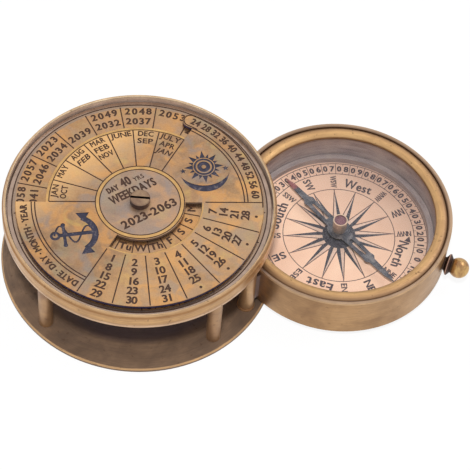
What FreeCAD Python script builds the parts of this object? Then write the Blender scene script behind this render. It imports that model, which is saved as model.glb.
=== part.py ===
import FreeCAD, Part
import math
import os
import Sketcher

# A desk calendar on three pillars, with a compass that swings out from under it on a fourth post.
# Millimetres. The origin is the centre of the base plate's underside, on the calendar's axis, +Z up.
# The compass stands swung open to the right, as it is shown in use.

SIZES = [
    # base plate, pillars and hinge post
    ("base_overhang", 4.25, "base plate beyond the pillar circle"),
    ("base_thickness", 1.5, "base plate"),
    ("base_edge", 0.45, "chamfer of the base plate's edges"),
    ("case_headroom", 4.7, "room between compass case and calendar housing"),
    ("case_clearance", 1.35, "room between compass case and pillars"),
    ("pillar_radius", 2.0, "pillars"),
    ("pillar_edge", 0.2, "chamfer at both ends of a pillar"),
    ("front_left_angle", 228.6, "front left pillar, degrees from +X"),
    ("front_right_angle", 312.6, "front right pillar"),
    ("rear_angle", 144.6, "rear pillar"),
    ("hinge_angle", 336.15, "hinge post"),
    ("fixing_radius", 1.1, "shank of the pillar screws"),
    ("fixing_depth", 4.5, "screw length inside a pillar"),
    ("fixing_clearance", 0.02, "radial room round the screws"),
    ("base_head_overlap", 1.0, "countersunk head beyond its shank"),
    ("base_head_height", 1.0, "countersunk head"),
    ("deck_head_overlap", 0.8, "low head beyond its shank"),
    ("deck_head_height", 0.75, "low head inside the housing"),
    ("fixing_slot_width", 0.5, "screwdriver slot of the pillar screws"),
    ("fixing_slot_depth", 0.35, "screwdriver slot of the pillar screws"),
    ("post_radius", 1.35, "hinge post"),
    ("post_step", 0.35, "shoulder behind the riveted ends of the hinge post"),
    ("post_rivet_height", 0.4, "riveted head above the housing floor"),
    ("thrust_washer_overlap", 0.3, "thrust washers beyond the hinge barrel"),
    ("thrust_washer_height", 0.5, "washers at both ends of the hinge barrel"),
    ("running_clearance", 0.05, "radial and axial room of the turning pieces"),
    # calendar housing and dials
    ("head_room", 0.2, "room between the low heads and the housing wall"),
    ("rim_rise", 0.45, "rim above the top of the face plate"),
    ("rim_crown", 0.45, "flat top of the rim"),
    ("rim_bead_height", 0.9, "bead round the top of the housing"),
    ("rim_bead_step", 0.3, "shoulder under the bead"),
    ("housing_floor", 1.2, "housing floor thickness"),
    ("housing_wall", 1.05, "housing wall thickness"),
    ("rim_edge", 0.2, "chamfer of the rim's inner edge and of the housing's lower edge"),
    ("band_groove_level", 1.2, "groove round the housing, above its underside"),
    ("band_groove_width", 0.35, "groove round the housing"),
    ("band_groove_depth", 0.15, "groove round the housing"),
    ("spacer_width", 2.0, "spacer that carries the year disc, beyond the bush"),
    ("head_gap", 0.35, "room between the low heads and the year disc"),
    ("disc_margin", 0.35, "gap between year disc and housing wall"),
    ("disc_thickness", 1.0, "year disc"),
    ("separator_width", 1.4, "washer between year disc and face plate, beyond the bush"),
    ("separator_height", 0.5, "washer between year disc and face plate"),
    ("plate_margin", 2.55, "gap between face plate and housing wall"),
    ("plate_thickness", 1.0, "face plate"),
    ("plate_angle", 126.43, "direction of the middle of the month scale"),
    ("scale_angle", 120.0, "span of the month scale and of the date table"),
    ("year_band", 8.35, "depth of the cut-out that shows the years"),
    ("tab_width", 4.5, "tab beside the cut-out"),
    ("tab_overhang", 3.1, "degrees that the tab reaches into the cut-out, before its round end"),
    ("month_band", 8.95, "from the cut-out's inner edge in to the weekday window"),
    ("window_width", 4.5, "window that shows the weekdays"),
    ("bush_wall", 0.7, "bush that both dials turn on"),
    ("screw_radius", 1.5, "shank of the centre screw"),
    ("screw_head_overlap", 0.6, "cheese head beyond the bush"),
    ("screw_head_height", 2.1, "cheese head of the centre screw"),
    ("screw_head_edge", 0.3, "chamfer of the cheese head"),
    ("screw_slot_width", 0.75, "screwdriver slot of the centre screw"),
    ("screw_slot_depth", 0.9, "screwdriver slot of the centre screw"),
    ("screw_slot_angle", 1.4, "direction of the screwdriver slot"),
    ("nut_wall", 1.0, "nut under the housing, bore to flats"),
    ("nut_height", 1.3, "nut under the housing"),
    # compass
    ("swing_angle", 45.06, "direction from hinge post to compass, as shown"),
    ("case_radius", 31.5, "outside of the compass case"),
    ("case_height", 14.4, "compass case"),
    ("case_lift", 0.8, "room between base plate and compass case"),
    ("case_floor", 1.2, "floor of the compass case"),
    ("case_wall", 3.9, "side of the compass case"),
    ("case_edge", 0.5, "chamfer of the case's lower edge"),
    ("lip_edge", 0.3, "chamfer of the case's lip"),
    ("lip_width", 1.2, "case lip round the bezel"),
    ("bezel_cover", 2.3, "bezel over the glass"),
    ("bezel_height", 1.3, "bezel above the glass"),
    ("bezel_inner_height", 0.6, "straight inner edge of the bezel"),
    ("bezel_crown", 0.5, "flat top of the bezel"),
    ("bezel_outer_slope", 1.4, "outer slope of the bezel, down to the groove beside the lip"),
    ("bezel_outer_drop", 0.75, "outer slope of the bezel, from crown to groove"),
    ("bezel_swell", 0.15, "middle of both slopes above a straight line"),
    ("glass_thickness", 1.2, "window glass"),
    ("glass_seat_width", 1.5, "ledge under the glass"),
    ("glass_clearance", 0.1, "radial room round the glass"),
    ("card_margin", 0.1, "radial room round the card and its rings"),
    ("backing_thickness", 1.15, "disc under the card"),
    ("card_thickness", 0.4, "compass card"),
    ("card_ring_width", 1.6, "ring that holds the card down"),
    ("card_ring_height", 1.95, "ring that holds the card down"),
    ("pin_foot_overlap", 0.9, "foot of the needle post beyond its spigot"),
    ("pin_foot_height", 0.4, "foot of the needle post"),
    ("pin_spigot_radius", 0.9, "needle post, through card and floor"),
    ("pin_radius", 0.55, "needle post"),
    ("pin_point_height", 1.6, "cone at the top of the needle post"),
    ("pin_tip_radius", 0.06, "tip of the needle post"),
    ("pin_gap", 0.12, "room between the post's tip and the jewel"),
    ("needle_gap", 2.5, "card to needle"),
    ("needle_thickness", 0.3, "needle"),
    ("needle_margin", 2.8, "needle tip to the ring that holds the card down"),
    ("needle_hub_overlap", 1.35, "hub of the needle beyond its cap"),
    ("needle_root_width", 3.6, "across both legs at the hub"),
    ("needle_spear", 10.3, "shoulders of the spear to its tip"),
    ("needle_shoulder_width", 3.3, "across the shoulders"),
    ("needle_shoulder_length", 0.6, "straight part of the shoulders"),
    ("needle_waist_width", 2.9, "behind the shoulders"),
    ("needle_neck_width", 1.9, "in front of the shoulders"),
    ("needle_shoulder_slope", 1.2, "middle of the shoulders to waist and neck"),
    ("needle_point_length", 3.2, "pointed end of the spear"),
    ("needle_point_width", 1.5, "where the spear's pointed end starts"),
    ("needle_slot_root", 1.3, "hub to the opening between the legs"),
    ("needle_slot_width", 1.1, "opening between the legs, hub end"),
    ("needle_slot_stop", 1.5, "opening to the shoulders of the spear"),
    ("needle_slot_end_width", 0.7, "opening between the legs, far end"),
    ("needle_angle", 135.3, "direction of the north tip, as shown"),
    ("cap_wall", 1.0, "cap on the needle's hub, beyond its bore"),
    ("cap_headroom", 1.95, "cap to glass"),
    ("cap_roof", 0.2, "cap above its jewel"),
    ("cap_spigot_wall", 0.45, "cap, where it is riveted through the needle"),
    ("cap_spigot_height", 0.35, "cap under the needle"),
    ("cap_bore", 1.05, "inside of the cap"),
    ("cap_rim_depth", 0.35, "sunk top of the cap"),
    ("cap_rim_width", 0.3, "rim round the sunk top"),
    ("cap_step_height", 1.5, "narrower foot of the cap"),
    ("cap_step", 0.15, "narrower foot of the cap"),
    ("jewel_height", 0.9, "bearing jewel in the cap"),
    ("jewel_cone_depth", 0.55, "hollow that takes the post's tip"),
    ("jewel_cone_radius", 0.5, "hollow that takes the post's tip"),
    ("barrel_wall", 0.8, "hinge barrel"),
    ("saddle_width", 2.4, "web between barrel and case"),
    ("saddle_edge", 1.8, "web's ends stay this far from the case's top and bottom"),
    ("knob_angle", 344.5, "direction of the knob from the compass centre, as shown"),
    ("knob_level", 5.7, "knob axis above the case's underside"),
    ("knob_ball_radius", 2.93, "ball"),
    ("knob_neck_length", 0.2, "neck behind the ball"),
    ("knob_neck_inset", 0.83, "neck, smaller than the ball"),
    ("knob_collar_overlap", 1.2, "collar beyond the stem"),
    ("knob_collar_reach", 1.1, "collar's rim from the case's side"),
    ("knob_collar_thickness", 0.4, "rim of the collar"),
    ("knob_collar_back", 0.8, "cone from the stem up to the rim"),
    ("knob_collar_front", 0.7, "cone from the rim down to the neck"),
    ("knob_stem_radius", 1.9, "stem between case and collar"),
    ("knob_spigot_step", 0.6, "spigot in the case wall, smaller than the stem"),
    ("knob_spigot_cover", 1.5, "case wall left behind the spigot"),
]

PILLARS = [
    ("front_left_pillar", "front_left_angle"),
    ("front_right_pillar", "front_right_angle"),
    ("rear_pillar", "rear_angle"),
]

SCREW_ENTRY = 0.5


class Size:
    """A length or an angle, known both as a number and as the expression that the document binds."""

    def __init__(self, text, number):
        self.text = text
        self.number = number

    def __add__(self, other):
        return join(self, "+", other, self.number + sized(other).number)

    def __sub__(self, other):
        return join(self, "-", other, self.number - sized(other).number)

    def __mul__(self, other):
        return join(self, "*", other, self.number * sized(other).number)

    def __truediv__(self, other):
        return join(self, "/", other, self.number / sized(other).number)


def sized(value):
    if isinstance(value, Size):
        return value
    return Size(repr(float(value)), float(value))


def join(left, sign, right, number):
    return Size("(%s %s %s)" % (left.text, sign, sized(right).text), number)


def cosine(angle):
    return Size("cos(%s * 1 deg)" % angle.text, math.cos(math.radians(angle.number)))


def sine(angle):
    return Size("sin(%s * 1 deg)" % angle.text, math.sin(math.radians(angle.number)))


def root(value):
    return Size("sqrt(%s)" % value.text, math.sqrt(value.number))


def smaller(left, right):
    return Size("min(%s; %s)" % (left.text, right.text), min(left.number, right.number))


doc = FreeCAD.newDocument("calendar_compass")
sheet = doc.addObject("Spreadsheet::Sheet", "Sizes")
size = {}
for row, (alias, value, note) in enumerate(SIZES, start=1):
    sheet.set("A%d" % row, alias)
    sheet.set("B%d" % row, str(value))
    sheet.set("C%d" % row, note)
    sheet.setAlias("B%d" % row, alias)
    size[alias] = Size("Sizes." + alias, value)
doc.recompute()

ZERO = sized(0)
FULL_TURN = sized(360)

# Radii of the stand, from the compass case outwards: the case swings in between the pillars.
pillar_circle = size["case_radius"] + size["case_clearance"] + size["pillar_radius"]
base_radius = pillar_circle + size["base_overhang"]
base_head_radius = size["fixing_radius"] + size["base_head_overlap"]
deck_head_radius = size["fixing_radius"] + size["deck_head_overlap"]
post_spigot_radius = size["post_radius"] - size["post_step"]
barrel_bore = size["post_radius"] + size["running_clearance"]
barrel_radius = barrel_bore + size["barrel_wall"]
thrust_washer_radius = barrel_radius + size["thrust_washer_overlap"]

# Radii of the calendar, from the housing wall inwards and from the bush outwards.
housing_bore = pillar_circle + deck_head_radius + size["head_room"]
rim_radius = housing_bore + size["housing_wall"]
disc_radius = housing_bore - size["disc_margin"]
plate_radius = housing_bore - size["plate_margin"]
notch_radius = plate_radius - size["year_band"]
window_outer_radius = notch_radius - size["month_band"]
window_inner_radius = window_outer_radius - size["window_width"]
bush_radius = size["screw_radius"] + size["bush_wall"]
dial_bore = bush_radius + size["running_clearance"]
spacer_radius = bush_radius + size["spacer_width"]
separator_radius = bush_radius + size["separator_width"]
screw_head_radius = bush_radius + size["screw_head_overlap"]

# Radii of the compass, from the case inwards.
case_bore = size["case_radius"] - size["case_wall"]
glass_seat_radius = case_bore + size["glass_seat_width"]
glass_radius = glass_seat_radius - size["glass_clearance"]
bezel_outer_radius = size["case_radius"] - size["lip_width"]
bezel_inner_radius = glass_seat_radius - size["bezel_cover"]
card_radius = case_bore - size["card_margin"]
card_ring_inner = card_radius - size["card_ring_width"]
pin_foot_radius = size["pin_spigot_radius"] + size["pin_foot_overlap"]
cap_radius = size["cap_bore"] + size["cap_wall"]
cap_spigot_radius = size["cap_bore"] + size["cap_spigot_wall"]
needle_hub_radius = cap_radius + size["needle_hub_overlap"]
needle_reach = card_ring_inner - size["needle_margin"]
knob_spigot_radius = size["knob_stem_radius"] - size["knob_spigot_step"]
knob_spigot_end = case_bore + size["knob_spigot_cover"]

# Levels of the stand and the calendar.
base_top = size["base_thickness"]
deck_bottom = base_top + size["case_lift"] + size["case_height"] + size["case_headroom"]
deck_top = deck_bottom + size["housing_floor"]
spacer_top = deck_top + size["deck_head_height"] + size["head_gap"]
disc_bottom = spacer_top + size["running_clearance"]
disc_top = disc_bottom + size["disc_thickness"]
separator_bottom = disc_top + size["running_clearance"]
separator_top = separator_bottom + size["separator_height"]
plate_bottom = separator_top + size["running_clearance"]
plate_top = plate_bottom + size["plate_thickness"]
bush_top = plate_top + size["running_clearance"]
rim_top = plate_top + size["rim_rise"]

# Levels of the compass.
case_bottom = base_top + size["case_lift"]
case_top = case_bottom + size["case_height"]
case_floor_top = case_bottom + size["case_floor"]
backing_top = case_floor_top + size["backing_thickness"]
card_top = backing_top + size["card_thickness"]
card_ring_top = card_top + size["card_ring_height"]
glass_top = case_top - size["bezel_height"]
glass_bottom = glass_top - size["glass_thickness"]
needle_bottom = card_top + size["needle_gap"]
needle_top = needle_bottom + size["needle_thickness"]
cap_top = glass_bottom - size["cap_headroom"]
jewel_top = cap_top - size["cap_rim_depth"] - size["cap_roof"]
jewel_bottom = jewel_top - size["jewel_height"]
pin_top = jewel_bottom + size["jewel_cone_depth"] - size["pin_gap"]
knob_level = case_bottom + size["knob_level"]

# Places seen from above.
hinge_x = pillar_circle * cosine(size["hinge_angle"])
hinge_y = pillar_circle * sine(size["hinge_angle"])
compass_x = hinge_x + pillar_circle * cosine(size["swing_angle"])
compass_y = hinge_y + pillar_circle * sine(size["swing_angle"])
AT_CENTRE = (ZERO, ZERO)
AT_HINGE = (hinge_x, hinge_y)
AT_COMPASS = (compass_x, compass_y)

nodes = []


def finish_node(item, name):
    """Names a sub-part and puts it on the list of pieces to write."""
    item.Label = name
    nodes.append(item)
    return item


def place(item, at=AT_CENTRE, level=ZERO, turn=ZERO):
    """Binds an object's place on the plan, its level and its turn about the vertical."""
    item.Placement = FreeCAD.Placement(
        FreeCAD.Vector(at[0].number, at[1].number, level.number),
        FreeCAD.Rotation(FreeCAD.Vector(0, 0, 1), turn.number))
    for path, value in (("x", at[0]), ("y", at[1]), ("z", level)):
        if value is not ZERO:
            item.setExpression("Placement.Base." + path, value.text)
    if turn is not ZERO:
        item.setExpression("Placement.Rotation.Angle", turn.text)
    return item


def new_body(name):
    body = doc.addObject("PartDesign::Body", name)
    body.Label = name
    return body


def origin_plane(body, role):
    return [item for item in body.Origin.OriginFeatures if item.Role == role][0]


def new_sketch(body, name, plane):
    sketch = body.newObject("Sketcher::SketchObject", name)
    sketch.AttachmentSupport = (origin_plane(body, plane), [""])
    sketch.MapMode = "FlatFace"
    return sketch


def bind(sketch, kind, *where):
    """Adds a dimension whose last value is a Size, and binds it to the sheet."""
    value = where[-1]
    number = sketch.addConstraint(Sketcher.Constraint(kind, *where[:-1], value.number))
    sketch.setExpression("Constraints[%d]" % number, value.text)


def hold_corner(sketch, line, end, across, along):
    """Fixes a corner by its distances from the sketch's origin."""
    if across is ZERO:
        sketch.addConstraint(Sketcher.Constraint("PointOnObject", line, end, -2))
    else:
        bind(sketch, "DistanceX", -1, 1, line, end, across)
    if along is ZERO:
        sketch.addConstraint(Sketcher.Constraint("PointOnObject", line, end, -1))
    else:
        bind(sketch, "DistanceY", -1, 1, line, end, along)


def closed_outline(sketch, corners):
    """Draws straight sides through the corners and joins each side to the next."""
    count = len(corners)
    points = [FreeCAD.Vector(x.number, y.number, 0) for x, y in corners]
    for i in range(count):
        sketch.addGeometry(Part.LineSegment(points[i], points[(i + 1) % count]), False)
    for i in range(count):
        sketch.addConstraint(Sketcher.Constraint("Coincident", i, 2, (i + 1) % count, 1))


def turned(name, corners, at=AT_CENTRE, level=ZERO, turn=ZERO):
    """A body turned on the lathe: corners are (radius, height) in its own upright half section."""
    body = new_body(name)
    sketch = new_sketch(body, name + "_section", "XZ_Plane")
    closed_outline(sketch, corners)
    for i, (radius, height) in enumerate(corners):
        hold_corner(sketch, i, 1, radius, height)
    revolution = body.newObject("PartDesign::Revolution", name + "_turning")
    revolution.Profile = sketch
    revolution.ReferenceAxis = (sketch, ["V_Axis"])
    revolution.Angle = 360
    place(body, at, level, turn)
    doc.recompute()
    return body


def edge_names(feature, radius, level):
    """The circular edges of that radius, on the body's own axis, at that level."""
    found = []
    for number, edge in enumerate(feature.Shape.Edges, start=1):
        curve = edge.Curve
        if not isinstance(curve, Part.Circle):
            continue
        if abs(curve.Radius - radius.number) < 1e-4 and abs(curve.Center.z - level.number) < 1e-4:
            found.append("Edge%d" % number)
    return found


def bevel_edges(body, name, rings, width):
    """Chamfers the circular edges given as (radius, level)."""
    base = body.Tip
    chamfer = body.newObject("PartDesign::Chamfer", name)
    names = [found for ring in rings for found in edge_names(base, *ring)]
    chamfer.Base = (base, names)
    chamfer.Size = width.number
    chamfer.setExpression("Size", width.text)
    doc.recompute()
    return chamfer


def tube(name, outer, inner, bottom, top, at=AT_CENTRE):
    """A plain ring with a square section."""
    return turned(name, [(inner, bottom), (outer, bottom), (outer, top), (inner, top)], at)


def cylinder(name, radius, height, at=AT_CENTRE, level=ZERO, turn=ZERO, angle=FULL_TURN):
    item = doc.addObject("Part::Cylinder", name)
    for path, value in (("Radius", radius), ("Height", height), ("Angle", angle)):
        item.setExpression(path, value.text)
    return place(item, at, level, turn)


def cone(name, lower, upper, height, at, level):
    item = doc.addObject("Part::Cone", name)
    for path, value in (("Radius1", lower), ("Radius2", upper), ("Height", height)):
        item.setExpression(path, value.text)
    return place(item, at, level)


def cut(name, base, *tools):
    """Takes every tool away from the base, one after the other."""
    for number, tool in enumerate(tools, start=1):
        item = doc.addObject("Part::Cut", "%s_cut_%d" % (name, number))
        item.Base = base
        item.Tool = tool
        base = item
    return base


def slot_cutter(name, width, length, depth, at, level, turn=ZERO):
    """A bar centred over a screw head, for its slot."""
    bar = doc.addObject("Part::Box", name)
    for path, value in (("Length", length), ("Width", width), ("Height", depth)):
        bar.setExpression(path, value.text)
    half_length = length / 2
    half_width = width / 2
    x = at[0] - half_length * cosine(turn) + half_width * sine(turn)
    y = at[1] - half_length * sine(turn) - half_width * cosine(turn)
    return place(bar, (x, y), level, turn)


def on_pillar_circle(angle):
    return (pillar_circle * cosine(angle), pillar_circle * sine(angle))


def screw_holes(name, bottom, height):
    """Plain holes for the pillar screws."""
    radius = size["fixing_radius"] + size["fixing_clearance"]
    return [
        cylinder("%s_hole_%s" % (name, pillar), radius, height, on_pillar_circle(size[angle]), bottom)
        for pillar, angle in PILLARS
    ]


def make_base_plate():
    radius = base_radius
    blank = turned("base_blank", [(ZERO, ZERO), (radius, ZERO), (radius, base_top), (ZERO, base_top)])
    bevel_edges(blank, "base_edges", [(radius, base_top), (radius, ZERO)], size["base_edge"])
    tools = screw_holes("base", ZERO, base_top)
    wide = base_head_radius + size["fixing_clearance"]
    narrow = size["fixing_radius"] + size["fixing_clearance"]
    for pillar, angle in PILLARS:
        at = on_pillar_circle(size[angle])
        tools.append(cone("base_sink_" + pillar, wide, narrow, size["base_head_height"], at, ZERO))
    tools.append(cylinder("base_rivet_hole", post_spigot_radius, base_top, AT_HINGE))
    finish_node(cut("base_plate", blank, *tools), "base_plate")


def make_pillars():
    hole = size["fixing_radius"] + size["fixing_clearance"]
    depth = size["fixing_depth"] + SCREW_ENTRY
    edge = size["pillar_edge"]
    radius = size["pillar_radius"]
    section = [
        (ZERO, base_top + depth),
        (hole, base_top + depth),
        (hole, base_top),
        (radius - edge, base_top),
        (radius, base_top + edge),
        (radius, deck_bottom - edge),
        (radius - edge, deck_bottom),
        (hole, deck_bottom),
        (hole, deck_bottom - depth),
        (ZERO, deck_bottom - depth),
    ]
    for pillar, angle in PILLARS:
        finish_node(turned(pillar + "_body", section, on_pillar_circle(size[angle])), pillar)


def make_base_screws():
    """Countersunk screws from under the base plate into the pillars."""
    head = size["base_head_height"]
    shank = size["fixing_radius"]
    section = [
        (ZERO, ZERO),
        (base_head_radius, ZERO),
        (shank, head),
        (shank, base_top + size["fixing_depth"]),
        (ZERO, base_top + size["fixing_depth"]),
    ]
    screws = []
    for pillar, angle in PILLARS:
        at = on_pillar_circle(size[angle])
        blank = turned("base_screw_" + pillar, section, at)
        slot = slot_cutter("base_slot_" + pillar, size["fixing_slot_width"], base_head_radius * 3,
                           size["fixing_slot_depth"], at, ZERO, size[angle])
        screws.append(cut("base_screw_cut_" + pillar, blank, slot))
    group = doc.addObject("Part::Compound", "base_screws_group")
    group.Links = screws
    finish_node(group, "base_screws")


def make_deck_screws():
    """Low headed screws inside the housing, down into the pillars."""
    head_top = deck_top + size["deck_head_height"]
    shank = size["fixing_radius"]
    section = [
        (ZERO, deck_bottom - size["fixing_depth"]),
        (shank, deck_bottom - size["fixing_depth"]),
        (shank, deck_top),
        (deck_head_radius, deck_top),
        (deck_head_radius, head_top),
        (ZERO, head_top),
    ]
    screws = []
    for pillar, angle in PILLARS:
        at = on_pillar_circle(size[angle])
        blank = turned("deck_screw_" + pillar, section, at)
        slot = slot_cutter("deck_slot_" + pillar, size["fixing_slot_width"], deck_head_radius * 3,
                           size["fixing_slot_depth"], at, head_top - size["fixing_slot_depth"], size[angle])
        screws.append(cut("deck_screw_cut_" + pillar, blank, slot))
    group = doc.addObject("Part::Compound", "deck_screws_group")
    group.Links = screws
    finish_node(group, "deck_screws")


def make_hinge_post():
    spigot = post_spigot_radius
    post = size["post_radius"]
    rivet_top = deck_top + size["post_rivet_height"]
    section = [
        (ZERO, ZERO),
        (spigot, ZERO),
        (spigot, base_top),
        (post, base_top),
        (post, deck_bottom),
        (spigot, deck_bottom),
        (spigot, deck_top),
        (post, deck_top),
        (spigot, rivet_top),
        (ZERO, rivet_top),
    ]
    finish_node(turned("hinge_post_body", section, AT_HINGE), "hinge_post")


def make_thrust_washers():
    outer = thrust_washer_radius
    inner = size["post_radius"]
    height = size["thrust_washer_height"]
    lower = tube("lower_washer_body", outer, inner, base_top, base_top + height, AT_HINGE)
    upper = tube("upper_washer_body", outer, inner, deck_bottom - height, deck_bottom, AT_HINGE)
    finish_node(lower, "lower_thrust_washer")
    finish_node(upper, "upper_thrust_washer")


def make_calendar_housing():
    """A shallow turned cup with a bead round its rim and one groove round its side."""
    outer = rim_radius
    inner = housing_bore
    groove = deck_bottom + size["band_groove_level"]
    half = size["band_groove_width"] / 2
    step = smaller(size["rim_bead_step"], size["housing_wall"] * 0.3)
    bead_start = rim_top - size["rim_bead_height"]
    crown_end = inner + smaller(size["rim_crown"], size["housing_wall"] * 0.45)
    section = [
        (ZERO, deck_bottom),
        (outer, deck_bottom),
        (outer, groove - half),
        (outer - size["band_groove_depth"], groove),
        (outer, groove + half),
        (outer, bead_start - step),
        (outer - step, bead_start),
        (crown_end, rim_top),
        (inner, rim_top),
        (inner, deck_top),
        (ZERO, deck_top),
    ]
    blank = turned("housing_blank", section)
    rings = [(inner, rim_top), (outer, deck_bottom)]
    bevel_edges(blank, "housing_edges", rings, smaller(size["rim_edge"], size["housing_wall"] * 0.2))
    tools = screw_holes("deck", deck_bottom, size["housing_floor"])
    tools.append(cylinder("deck_rivet_hole", post_spigot_radius, size["housing_floor"], AT_HINGE, deck_bottom))
    tools.append(cylinder("deck_screw_hole", size["screw_radius"], size["housing_floor"], AT_CENTRE, deck_bottom))
    finish_node(cut("calendar_housing", blank, *tools), "calendar_housing")


def make_dial_bearing():
    """What both dials turn on: spacer, bush, the washer between them, screw and nut."""
    bush = bush_radius
    shank = size["screw_radius"]
    finish_node(tube("spacer_body", spacer_radius, bush, deck_top, spacer_top), "disc_spacer")
    finish_node(tube("bush_body", bush, shank, deck_top, bush_top), "centre_bush")
    separator = tube("separator_body", separator_radius, dial_bore, separator_bottom, separator_top)
    finish_node(separator, "separator_washer")
    head_top = bush_top + size["screw_head_height"]
    shank_end = deck_bottom - size["nut_height"]
    edge = size["screw_head_edge"]
    head = screw_head_radius
    section = [
        (ZERO, shank_end),
        (shank, shank_end),
        (shank, bush_top),
        (head, bush_top),
        (head, head_top - edge),
        (head - edge, head_top),
        (ZERO, head_top),
    ]
    blank = turned("centre_screw_body", section)
    slot = slot_cutter("centre_slot", size["screw_slot_width"], head * 3, size["screw_slot_depth"],
                       AT_CENTRE, head_top - size["screw_slot_depth"], size["screw_slot_angle"])
    finish_node(cut("centre_screw", blank, slot), "centre_screw")
    hexagon = doc.addObject("Part::Prism", "nut_hexagon")
    hexagon.Polygon = 6
    hexagon.setExpression("Circumradius", ((shank + size["nut_wall"]) * 2 / math.sqrt(3)).text)
    hexagon.setExpression("Height", size["nut_height"].text)
    place(hexagon, AT_CENTRE, shank_end)
    bore = cylinder("nut_bore", shank, size["nut_height"], AT_CENTRE, shank_end)
    finish_node(cut("centre_nut", hexagon, bore), "centre_nut")


def make_year_disc():
    finish_node(tube("year_disc_body", disc_radius, dial_bore, disc_bottom, disc_top), "year_disc")


def make_face_plate():
    """The thin face plate: a cut-out over the years, a round-ended tab beside it and a weekday window."""
    blank = tube("plate_blank", plate_radius, dial_bore, plate_bottom, plate_top)
    thick = size["plate_thickness"]
    half = size["scale_angle"] / 2
    notch_start = size["plate_angle"] - half
    beyond = plate_radius + 1
    sector = cylinder("notch_sector", beyond, thick, AT_CENTRE, plate_bottom, notch_start, size["scale_angle"])
    core = cylinder("notch_core", notch_radius, thick, AT_CENTRE, plate_bottom)
    tab_radius = size["tab_width"] / 2
    tab_centre = plate_radius - tab_radius
    tab_angle = notch_start + size["tab_overhang"]
    tab_outer = cylinder("tab_outer", beyond, thick, AT_CENTRE, plate_bottom, notch_start, size["tab_overhang"])
    tab_inner = cylinder("tab_inner", plate_radius - size["tab_width"], thick, AT_CENTRE, plate_bottom)
    tab_strip = cut("tab_strip", tab_outer, tab_inner)
    tab_at = (tab_centre * cosine(tab_angle), tab_centre * sine(tab_angle))
    tab_end = cylinder("tab_end", tab_radius, thick, tab_at, plate_bottom)
    notch = cut("notch", sector, core, tab_strip, tab_end)
    window_start = notch_start + 180
    window_sector = cylinder("window_sector", window_outer_radius, thick, AT_CENTRE, plate_bottom,
                             window_start, size["scale_angle"])
    window_core = cylinder("window_core", window_inner_radius, thick, AT_CENTRE, plate_bottom)
    window = cut("window", window_sector, window_core)
    finish_node(cut("face_plate", blank, notch, window), "face_plate")


def knob_section(sketch):
    """The knob's half section along its own axis, which is the sketch's horizontal axis."""
    side = size["case_radius"]
    collar_start = side + size["knob_collar_reach"]
    collar_end = collar_start + size["knob_collar_thickness"]
    neck_radius = size["knob_ball_radius"] - size["knob_neck_inset"]
    inside = root(size["knob_ball_radius"] * size["knob_ball_radius"] - neck_radius * neck_radius)
    neck_start = collar_end + size["knob_collar_front"]
    centre = neck_start + size["knob_neck_length"] + inside
    ball = size["knob_ball_radius"].number
    neck = neck_radius.number
    ball_start = (neck_start + size["knob_neck_length"]).number
    collar_radius = size["knob_stem_radius"] + size["knob_collar_overlap"]
    corners = [
        (knob_spigot_end, ZERO),
        (knob_spigot_end, knob_spigot_radius),
        (side, knob_spigot_radius),
        (side, size["knob_stem_radius"]),
        (collar_start - size["knob_collar_back"], size["knob_stem_radius"]),
        (collar_start, collar_radius),
        (collar_end, collar_radius),
        (neck_start, neck_radius),
    ]
    points = [FreeCAD.Vector(x.number, y.number, 0) for x, y in corners]
    points.append(FreeCAD.Vector(ball_start, neck, 0))
    for first, second in zip(points, points[1:]):
        sketch.addGeometry(Part.LineSegment(first, second), False)
    lines = len(points) - 1
    for i in range(lines - 1):
        sketch.addConstraint(Sketcher.Constraint("Coincident", i, 2, i + 1, 1))
    for i, (x, y) in enumerate(corners):
        hold_corner(sketch, i, 1, x, y)
    start_angle = math.atan2(neck, ball_start - centre.number)
    circle = Part.Circle(FreeCAD.Vector(centre.number, 0, 0), FreeCAD.Vector(0, 0, 1), ball)
    arc = sketch.addGeometry(Part.ArcOfCircle(circle, 0, start_angle), False)
    sketch.addConstraint(Sketcher.Constraint("PointOnObject", arc, 3, -1))
    bind(sketch, "DistanceX", -1, 1, arc, 3, centre)
    bind(sketch, "Radius", arc, size["knob_ball_radius"])
    sketch.addConstraint(Sketcher.Constraint("PointOnObject", arc, 1, -1))
    sketch.addConstraint(Sketcher.Constraint("Coincident", arc, 2, lines - 1, 2))
    sketch.addConstraint(Sketcher.Constraint("Horizontal", lines - 1))
    axis_line = sketch.addGeometry(Part.LineSegment(
        FreeCAD.Vector(centre.number + ball, 0, 0), points[0]), False)
    sketch.addConstraint(Sketcher.Constraint("Coincident", axis_line, 1, arc, 1))
    sketch.addConstraint(Sketcher.Constraint("Coincident", axis_line, 2, 0, 1))


def turned_on_side(name, draw):
    """A body turned about the line that runs out of the compass case at the knob."""
    body = new_body(name)
    sketch = new_sketch(body, name + "_section", "XY_Plane")
    draw(sketch)
    revolution = body.newObject("PartDesign::Revolution", name + "_turning")
    revolution.Profile = sketch
    revolution.ReferenceAxis = (sketch, ["H_Axis"])
    revolution.Angle = 360
    place(body, AT_COMPASS, knob_level, size["knob_angle"])
    doc.recompute()
    return body


def knob_hole_section(sketch):
    """The hole for the knob's spigot, running out past the case's side."""
    side = size["case_radius"]
    corners = [
        (knob_spigot_end, ZERO),
        (knob_spigot_end, knob_spigot_radius),
        (side + 1, knob_spigot_radius),
        (side + 1, ZERO),
    ]
    closed_outline(sketch, corners)
    for i, (x, y) in enumerate(corners):
        hold_corner(sketch, i, 1, x, y)


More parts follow.
